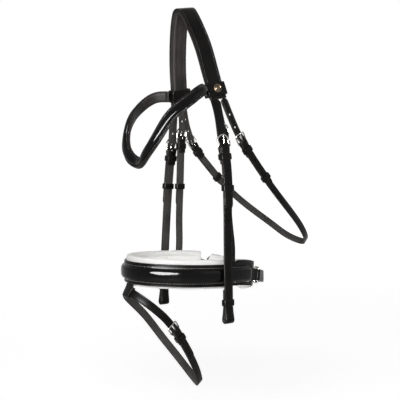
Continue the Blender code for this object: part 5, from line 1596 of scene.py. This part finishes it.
ring_seat = Seat(NOSE[1], NOSE_END, -1)
fold = fold_pairs(CRANK_RING_WIRE, BAND_LEATHER, FOLD_LENGTH / 2, FOLD_TAPER)
folded = ring_seat.path(fold[::-1], CRANK_WIDTH / 2)
first_fold = [(NOSE_LENGTH - s, out, half) for s, out, half in reversed(folded)]
last = NOSE_END - FOLD_TAPER
run = [(s, 0.0, band_half(s, last - NOSE_LENGTH / 2))
       for s in even_marks(NOSE_LENGTH - last, last, ROW_STEP)]
nose_rows = lay(NOSE[1], eased(first_fold + run[1:-1] + folded))
make_strap("noseband_base", nose_rows, BAND_LEATHER, "noseband")

roll_start = NOSE_LENGTH - PAD_REACH
roll_marks = even_marks(roll_start, PAD_REACH, ROW_STEP, NOSE_PAD_END)
roll = padded_sheet(NOSE[1], roll_marks, NOSE_ROLL_WIDTH / 2, NOSE_ROLL_DEPTH, NOSE_LEVEL, 1,
                    roll_outline(2.8), NOSE_PAD_END)
make_pad("noseband_roll", roll, patent_leather, "noseband")
# The grey cord's colour is a painted glint; the thread itself is black.
make_seams("noseband_seams", painted_glint_cord, "noseband",
           (nose_seat, roll_start + NOSE_SEAM_START, PAD_REACH - NOSE_SEAM_START,
            BAND_LEATHER / 2, NOSE_SEAM))

# %% [markdown]
# Inside the leather lies a white pad. It stands above the leather as a rounded rim, with a
# seam below the rim and four channels across, so all of these are in its outline. On the left
# it reaches less far round, as the photograph shows.

# %% White pad of the noseband
NOSE_PAD_DEPTH = 0.0090
PAD_LEFT_TURN = 99
WHITE_GATHER = 0.0004
WHITE_STEP = 0.002
CHANNEL_SHARES = (0.17, 0.39, 0.61, 0.83)
PAD_SEAM = 0.56
PAD_SEAM_SINK = 0.48
WHITE_SHARES = mirrored_shares([
    (-0.86, 0.00), (-0.96, 0.07), (-1.00, 0.24), (-1.00, 0.46), (-0.965, 0.68), (-0.90, 0.85),
    (-0.84, 0.97), (-0.76, 0.98), (-0.68, 0.88), (-0.61, 0.66), (-PAD_SEAM, 0.46), (-0.51, 0.58),
    (-0.45, 0.68), (-0.34, 0.75), (-0.18, 0.79), (0.00, 0.80),
], (0.5, 0.2))

pad_start = NOSE_LENGTH - turn_place(PAD_LEFT_TURN)
channels = [pad_start + share * (PAD_REACH - pad_start) for share in CHANNEL_SHARES]
pad_marks = even_marks(pad_start, PAD_REACH, WHITE_STEP, NOSE_PAD_END)
pad = padded_sheet(NOSE[1], pad_marks, NOSE_PAD_HEIGHT / 2, NOSE_PAD_DEPTH, -NOSE_LEVEL, -1,
                   WHITE_SHARES, NOSE_PAD_END, NOSE_PAD_RAISE, channels, WHITE_GATHER)
print("White pad is", round(PAD_REACH - pad_start, 3), "m long")

# %% [markdown]
# The hangers' feet lie between the leather and the pad, so the pad is pressed in there. Each
# vertex that lies beside a foot and too far out is moved inwards to just behind it.

# %% Press the hangers' feet into the pad
FOOT_ROOM = 0.0025
FOOT_EASE = 0.002
FOOT_BELOW = 0.001
foot_half = HANGER_WIDTH / 2 + FOOT_ROOM
foot_low = PAD_TOP - HANGER_TUCK - FOOT_BELOW
foot_back = HANGER_FOOT_LEVEL - LIGHT_LEATHER / 2 - GAP * 2
for tail, side in SIDES:
    spot = NOSE[side].place(HANGER_FOOT)
    along, across, out = NOSE[side].axes(HANGER_FOOT)
    for vert in pad.verts:
        way = vert.co - spot
        aside, height, level = abs(way.dot(along)), way.dot(across), way.dot(out)
        if aside < foot_half and height > foot_low:
            ease = min(1.0, (foot_half - aside) / FOOT_EASE)
            vert.co += out * min(foot_back - level, 0.0) * ease
make_pad("noseband_padding", pad, white_nappa, "noseband")


def pad_seam_level(s):
    return -NOSE_LEVEL - NOSE_PAD_DEPTH * PAD_SEAM_SINK * (1 - channel_draw(s, channels))


make_seams("noseband_pad_seams", white_cord, "noseband",
           (nose_seat, pad_start + NOSE_PAD_END, PAD_REACH - NOSE_PAD_END, pad_seam_level,
            PAD_SEAM * NOSE_PAD_HEIGHT / 2, NOSE_PAD_RAISE))

# %% [markdown]
# ## Crank and chin pad
# Under the jaw a doubled strap runs from one ring to the other and back to its own buckle, so
# that it pulls evenly, as a crank does. It is one strap on the noseband's line, and its path
# gives the level of each layer.

# %% Crank strap, rings and buckle
CRANK_LEATHER = 0.0024
CRANK_BAR = 0.0013
CRANK_FREE = 0.0600
CRANK_RING_LENGTH = 0.0120
CRANK_RING_HALF = 0.0126
CRANK_TIP = 0.0205
CRANK_LEVEL = -(BAND_LEATHER + GAP) / 2
CRANK_REACH = CRANK_RING_WIRE + GAP + CRANK_LEATHER / 2
CRANK_INNER = CRANK_LEVEL - CRANK_REACH
CRANK_OUTER = CRANK_INNER + CRANK_LEATHER + GAP * 3 + KEEPER_LEATHER
CRANK_BUCKLE = Buckle(CRANK_BAR, 0.0122, 0.0170, CRANK_WIDTH, CRANK_LEATHER, rise=0.0,
                      sink=CRANK_OUTER + CRANK_BAR + GAP + CRANK_LEATHER / 2,
                      pile=CRANK_OUTER + CRANK_LEATHER + GAP)
RIGHT_END, LEFT_END = turn_place(RING_TURN), turn_place(360 - RING_TURN)
FAR, NEAR = RIGHT_END + CRANK_RING_LENGTH, LEFT_END - CRANK_RING_LENGTH
CRANK_HEEL = FAR + CRANK_FREE


def half_turn(s, low, high, sign):
    """(s, out) round a bar from the low layer to the high one, bulging along sign."""
    middle, radius = (low + high) / 2, (high - low) / 2
    return [(s + sign * radius * math.sin(turn), middle - radius * math.cos(turn))
            for turn in np.linspace(0.0, math.pi, FOLD_STEPS + 1)]


def crank_pairs(buckle):
    """(s, out) from the far ring round the buckle's bar, both rings and under the frame."""
    front = CRANK_OUTER + CRANK_LEATHER + GAP
    flare = CRANK_LEVEL + CRANK_REACH
    crest = CRANK_OUTER + 2 * buckle.reach
    heel, taper = CRANK_HEEL, FOLD_TAPER
    pairs = [(FAR + taper, CRANK_OUTER)] + half_turn(heel, CRANK_OUTER, crest, 1)
    pairs += [(heel - taper / 2, (front + crest) / 2), (heel - taper, front)]
    pairs += [(FAR + taper / 2, front)] + half_turn(FAR, CRANK_INNER, flare, -1)[::-1]
    pairs += half_turn(NEAR, CRANK_INNER, flare, 1)
    pairs += [(NEAR - taper / 2, (flare + buckle.under) / 2), (NEAR - taper, buckle.under)]
    return pairs + [(heel - d, out) for d, out in buckle.billet_pairs(CRANK_TIP)]


half = CRANK_WIDTH / 2
seat = Seat(NOSE[1], CRANK_HEEL, -1)
path = cut_tip(eased([(s, out, half) for s, out in crank_pairs(CRANK_BUCKLE)]))
strap = make_strap("crank_strap", lay(NOSE[1], path), CRANK_LEATHER, "noseband", front=1.0)
tongue_slot(strap, CRANK_BUCKLE, seat, CRANK_OUTER - CRANK_LEATHER, CRANK_BUCKLE.fold_top)
billet_holes(strap, CRANK_BUCKLE, seat, 0, 0)
buckle_frame("crank_buckle_frame", CRANK_BUCKLE, seat, "noseband")
make_band("crank_keeper", seat.place, KEEPER_PLACE, KEEPER_HEIGHT, half,
          CRANK_OUTER - CRANK_LEATHER / 2, CRANK_BUCKLE.lie + CRANK_BUCKLE.billet / 2, "noseband",
          play=GAP * 1.5)
buckle_tongue("crank_buckle_tongue", CRANK_BUCKLE, seat, "crank_tongue")
for tail, start, sign in (("_right", RIGHT_END, 1), ("_left", LEFT_END, -1)):
    outline = rounded_box(CRANK_RING_HALF, 0.0, CRANK_RING_LENGTH, FRAME_CORNER)
    points = [NOSE[1].place(start + sign * d, CRANK_LEVEL, across) for across, d in outline]
    bar_piece("crank_ring" + tail, points, CRANK_RING_WIRE, "noseband", closed=True)
print("Crank strap runs", round(NEAR - FAR, 3), "m from ring to ring")

# %% [markdown]
# A padded piece lies between the crank strap and the jaw. Its leather backing bows in towards
# the jaw and is rounded at its ends, and its white pad has the noseband pad's outline.

# %% Chin pad and its backing
CHIN_LEATHER = 0.0025
CHIN_WIDTH = 0.041
CHIN_PAD_WIDTH = 0.043
CHIN_PAD_DEPTH = 0.0090
CHIN_END = 0.020
CHIN_END_CUT = 0.6975
CHIN_RIM = 0.0020
CHIN_RAISE = 0.0020
CHIN_BOW = 0.019
CHIN_SEAM_INSET = 0.0035
CHIN_SEAM_START = 0.004
CHIN_LEVEL = CRANK_LEVEL - CRANK_RING_WIRE - GAP - BAND_LEATHER - GAP - CHIN_LEATHER / 2
CHIN_TURNS = (124, 256)
CHIN_START, CHIN_STOP = (turn_place(turn) for turn in CHIN_TURNS)


def chin_level(s, above=0.0):
    """Level of the chin backing, which bows in towards the jaw between the rings."""
    share = min(max((s - RIGHT_END) / (LEFT_END - RIGHT_END), 0.0), 1.0)
    return CHIN_LEVEL - CHIN_BOW * math.sin(math.pi * share) ** 1.25 + above


def chin_half(s):
    """Half width of the chin backing, which rounds off towards its ends."""
    inset = min(s - CHIN_START, CHIN_STOP - s) + CHIN_RIM
    share = min(max(inset / (CHIN_RIM + CHIN_END), 0.0), 1.0)
    return CHIN_WIDTH / 2 * math.sqrt(1 - CHIN_END_CUT * (1 - share) ** 2.6)


chin_marks = even_marks(CHIN_START - CHIN_RIM, CHIN_STOP + CHIN_RIM, ROW_STEP)
chin_rows = lay(NOSE[1], [(s, chin_level(s), chin_half(s)) for s in chin_marks], CHIN_RAISE)
make_strap("chin_backing", chin_rows, CHIN_LEATHER, "noseband")
form_marks = even_marks(CHIN_START, CHIN_STOP, WHITE_STEP, CHIN_END)
pad = padded_sheet(NOSE[1], form_marks, CHIN_PAD_WIDTH / 2, CHIN_PAD_DEPTH,
                   lambda s: chin_level(s, -CHIN_LEATHER / 2 - GAP * 2), -1, WHITE_SHARES,
                   CHIN_END, CHIN_RAISE, crumple=WHITE_GATHER)
make_pad("chin_padding", pad, white_nappa, "noseband")
make_seams("chin_seams", black_cord, "noseband",
           (nose_seat, CHIN_START + CHIN_SEAM_START, CHIN_STOP - CHIN_SEAM_START,
            lambda s: chin_level(s, CHIN_LEATHER / 2), lambda s: chin_half(s) - CHIN_SEAM_INSET,
            CHIN_RAISE))

# %% [markdown]
# ## Flash strap
# The flash is a thin strap that hangs from a loop on the front of the noseband and closes
# below the bit. In the photograph it hangs open below the muzzle, on its own buckle.

# %% Flash strap
FLASH_HEEL = 0.109
FLASH_TIP = 0.062
half = FLASH_WIDTH / 2
seat = Seat(FLASH, FLASH_HEEL)
lap = FLASH.length
pairs = fold_pairs(FLASH_BUCKLE.bar, LIGHT_LEATHER, FOLD_LENGTH, FOLD_TAPER)
pairs += [(lap - FLASH_BUCKLE.height - FOLD_TAPER * 1.8, 0.0)]
pairs += [(lap + d, out) for d, out in FLASH_BUCKLE.billet_pairs(FLASH_TIP)]
path = cut_tip(eased(seat.path(pairs, half)))
strap = make_strap("flash_strap", lay(FLASH, path), LIGHT_LEATHER, "flash", front=1.0)
tongue_slot(strap, FLASH_BUCKLE, seat, high=FLASH_BUCKLE.fold_top)
billet_holes(strap, FLASH_BUCKLE, seat, 0, 1)
fit_buckle("flash", "", FLASH_BUCKLE, seat, half, "flash", solid=True)
make_seams("flash_seams", black_cord, "flash", fold_seam(seat, half, LIGHT_LEATHER))

# %% [markdown]
# The flash's loop is one strip that starts at the noseband's lower edge and goes round the
# strap. Its outline is a box with cut corners, which the easing rounds.

# %% Loop of the flash
FLASH_LOOP_WIDTH = 0.018
end, wall, wide = FLASH_EDGE, FLASH_WALL, FLASH_LOOP_WIDTH / 2
outline = [(end, wall), (-end * 0.8, wall), (-end, wall * 0.4), (-end, -wall * 0.4),
           (-end * 0.8, -wall), (end * 0.8, -wall), (end, GAP - FLASH_LOOP_LEATHER / 2)]
nose = NOSE[-1]
top = nose.place(NOSE_LENGTH / 2, 0.0, -NOSE_BAND_HEIGHT / 2 - SWING_GAP)
table = [[*top, *(nose.axes(NOSE_LENGTH / 2)[0] * wide), 0.0, 0.0, 0.0]]
for across, out in outline:
    ahead, behind = FLASH.place(wide, out, across), FLASH.place(-wide, out, across)
    table.append([*(ahead + behind) / 2, *(ahead - behind) / 2, 0.0, 0.0, 0.0])
rows = eased(table, step=0.0006, passes=6, place_columns=3)
rows[:, 6:] = rows[:, :3] - rows[:, :3].mean(axis=0)
make_strap("flash_loop", rows, FLASH_LOOP_LEATHER, "flash")
print("The flash's loop is", FLASH_LOOP_WIDTH * 1000, "mm wide")

# %% [markdown]
# ## Throatlash
# The throatlash goes under the jaw, loosely, from a billet on each side of the crown. It stops
# the bridle from coming off over the ears.

# %% Throatlash
THROAT_HEEL = 0.079
THROAT_RUNNER = 0.076
THROAT_TIP = 0.094
half = THROAT_WIDTH / 2
length = THROAT[1].length
path = Seat(THROAT[1], THROAT_HEEL).path(
    fold_pairs(THROAT_BUCKLE.bar, LIGHT_LEATHER, FOLD_LENGTH, FOLD_TAPER), half)
path += [(length - s, out, half) for s, out, half in reversed(path)]
strap = make_strap("throatlash_strap", lay(THROAT[1], eased(path)), LIGHT_LEATHER, "throatlash")
for tail, side in SIDES:
    route, buckle = THROAT[side], THROAT_BUCKLE
    seat = Seat(route, THROAT_HEEL)
    tongue_slot(strap, buckle, seat)
    path = billet_path(buckle, seat, THROAT_TIP, half, True)
    billet = make_strap("throat_billet" + tail, lay(route, path), LIGHT_LEATHER, "throatlash")
    billet_holes(billet, buckle, seat, 2, 1)
    fit_buckle("throat", tail, buckle, seat, half, "throatlash", THROAT_RUNNER)
    make_seams("throat_seams" + tail, black_cord, "throatlash",
               fold_seam(seat, half, LIGHT_LEATHER))

# %% [markdown]
# ## Studio
# The photograph is taken against plain white. The floor is white and lies well below the
# hanging bridle. What the camera sees behind is white too, and gloss sees the same. A key light
# from the front left lights the matt leathers, and a large card below it is seen by gloss alone,
# which gives the long highlight on the patent leather.

# %% Floor, backdrop colour and lights
FLOOR_LEVEL = -0.78
FLOOR_HALF = 6.0
WHITE = (1.0, 1.0, 1.0, 1.0)
WORLD_STRENGTH = {"To Min": 0.29, "To Max": 1.0}
FLOOR_GLOW = {"From Min": 0.6, "From Max": 3.2, "To Min": 0.40, "To Max": 0.74}


def see_white(tree):
    """A switch that is 1 where the camera, gloss or clear parts look at the background."""
    path = add_node(tree, "LightPath")
    seen = add_node(tree, "Math", {"operation": "ADD"},
                    {0: path.outputs["Is Camera Ray"], 1: path.outputs["Is Glossy Ray"]})
    seen = add_node(tree, "Math", {"operation": "ADD", "use_clamp": True},
                    {0: seen.outputs["Value"], 1: path.outputs["Is Transmission Ray"]})
    return seen.outputs["Value"]


world = bpy.data.worlds.new("white_studio")
bpy.context.scene.world = world
world.use_nodes = True
tree = world.node_tree
background = tree.nodes["Background"]
background.inputs["Color"].default_value = WHITE
strength = add_node(tree, "MapRange", WORLD_STRENGTH, {"Value": see_white(tree)})
join(tree, background, {"Strength": strength.outputs["Result"]})

sheet = bmesh.new()
bmesh.ops.create_grid(sheet, x_segments=2, y_segments=2, size=FLOOR_HALF,
                      matrix=Matrix.Translation((0, 0, FLOOR_LEVEL)))
floor_mesh = bpy.data.meshes.new("studio_floor")
sheet.to_mesh(floor_mesh)
sheet.free()
floor = bpy.data.objects.new("studio_floor", floor_mesh)
bpy.context.scene.collection.objects.link(floor)
floor_paint, tree, shader, place = new_finish("studio_floor_white", "#f4f4f4", {
    "Roughness": 0.8, "Emission Color": WHITE})
reach = add_node(tree, "VectorMath", {"operation": "LENGTH"}, {"Vector": place})
lit = add_node(tree, "MapRange", FLOOR_GLOW, {"Value": reach.outputs["Value"]})
seen = add_node(tree, "Math", {"operation": "MULTIPLY"},
                {0: lit.outputs["Result"], 1: see_white(tree)})
join(tree, shader, {"Emission Strength": seen.outputs["Value"]})
floor_mesh.materials.append(floor_paint)

# %% [markdown]
# Two weaker lights fill the shade. Together the lamps light the white pad to just under white.
# Each has a name, a place, its length and height, its watts, its shape, and whether matt
# surfaces and gloss see it.

# %% Lamps
AIM = Vector((-0.02, -0.04, -0.34))
LAMPS = (
    ("key_light", (-1.00, -0.97, 0.30), (1.15, 0.20), 16.5, "RECTANGLE", True, False),
    ("gloss_card", (-1.00, -1.02, -0.26), (1.25, 0.55), 190.0, "ELLIPSE", False, True),
    ("fill_light", (0.9, -1.5, 0.25), (1.2, 1.2), 4.2, "RECTANGLE", True, True),
    ("back_light", (0.7, 1.3, 0.8), (1.0, 1.0), 3.5, "RECTANGLE", True, True),
)
for name, place, (length, height), watts, shape, matt, gloss in LAMPS:
    data = bpy.data.lights.new(name, "AREA")
    data.shape, data.size, data.size_y, data.energy = shape, length, height, watts
    lamp = bpy.data.objects.new(name, data)
    bpy.context.scene.collection.objects.link(lamp)
    lamp.location = place
    lamp.rotation_euler = (Vector(place) - AIM).to_track_quat("Z", "Y").to_euler()
    lamp.visible_diffuse = matt
    lamp.visible_glossy = gloss
bpy.context.scene.view_settings.view_transform = "Standard"
print("Floor at", FLOOR_LEVEL, "m,", len(LAMPS), "lamps")
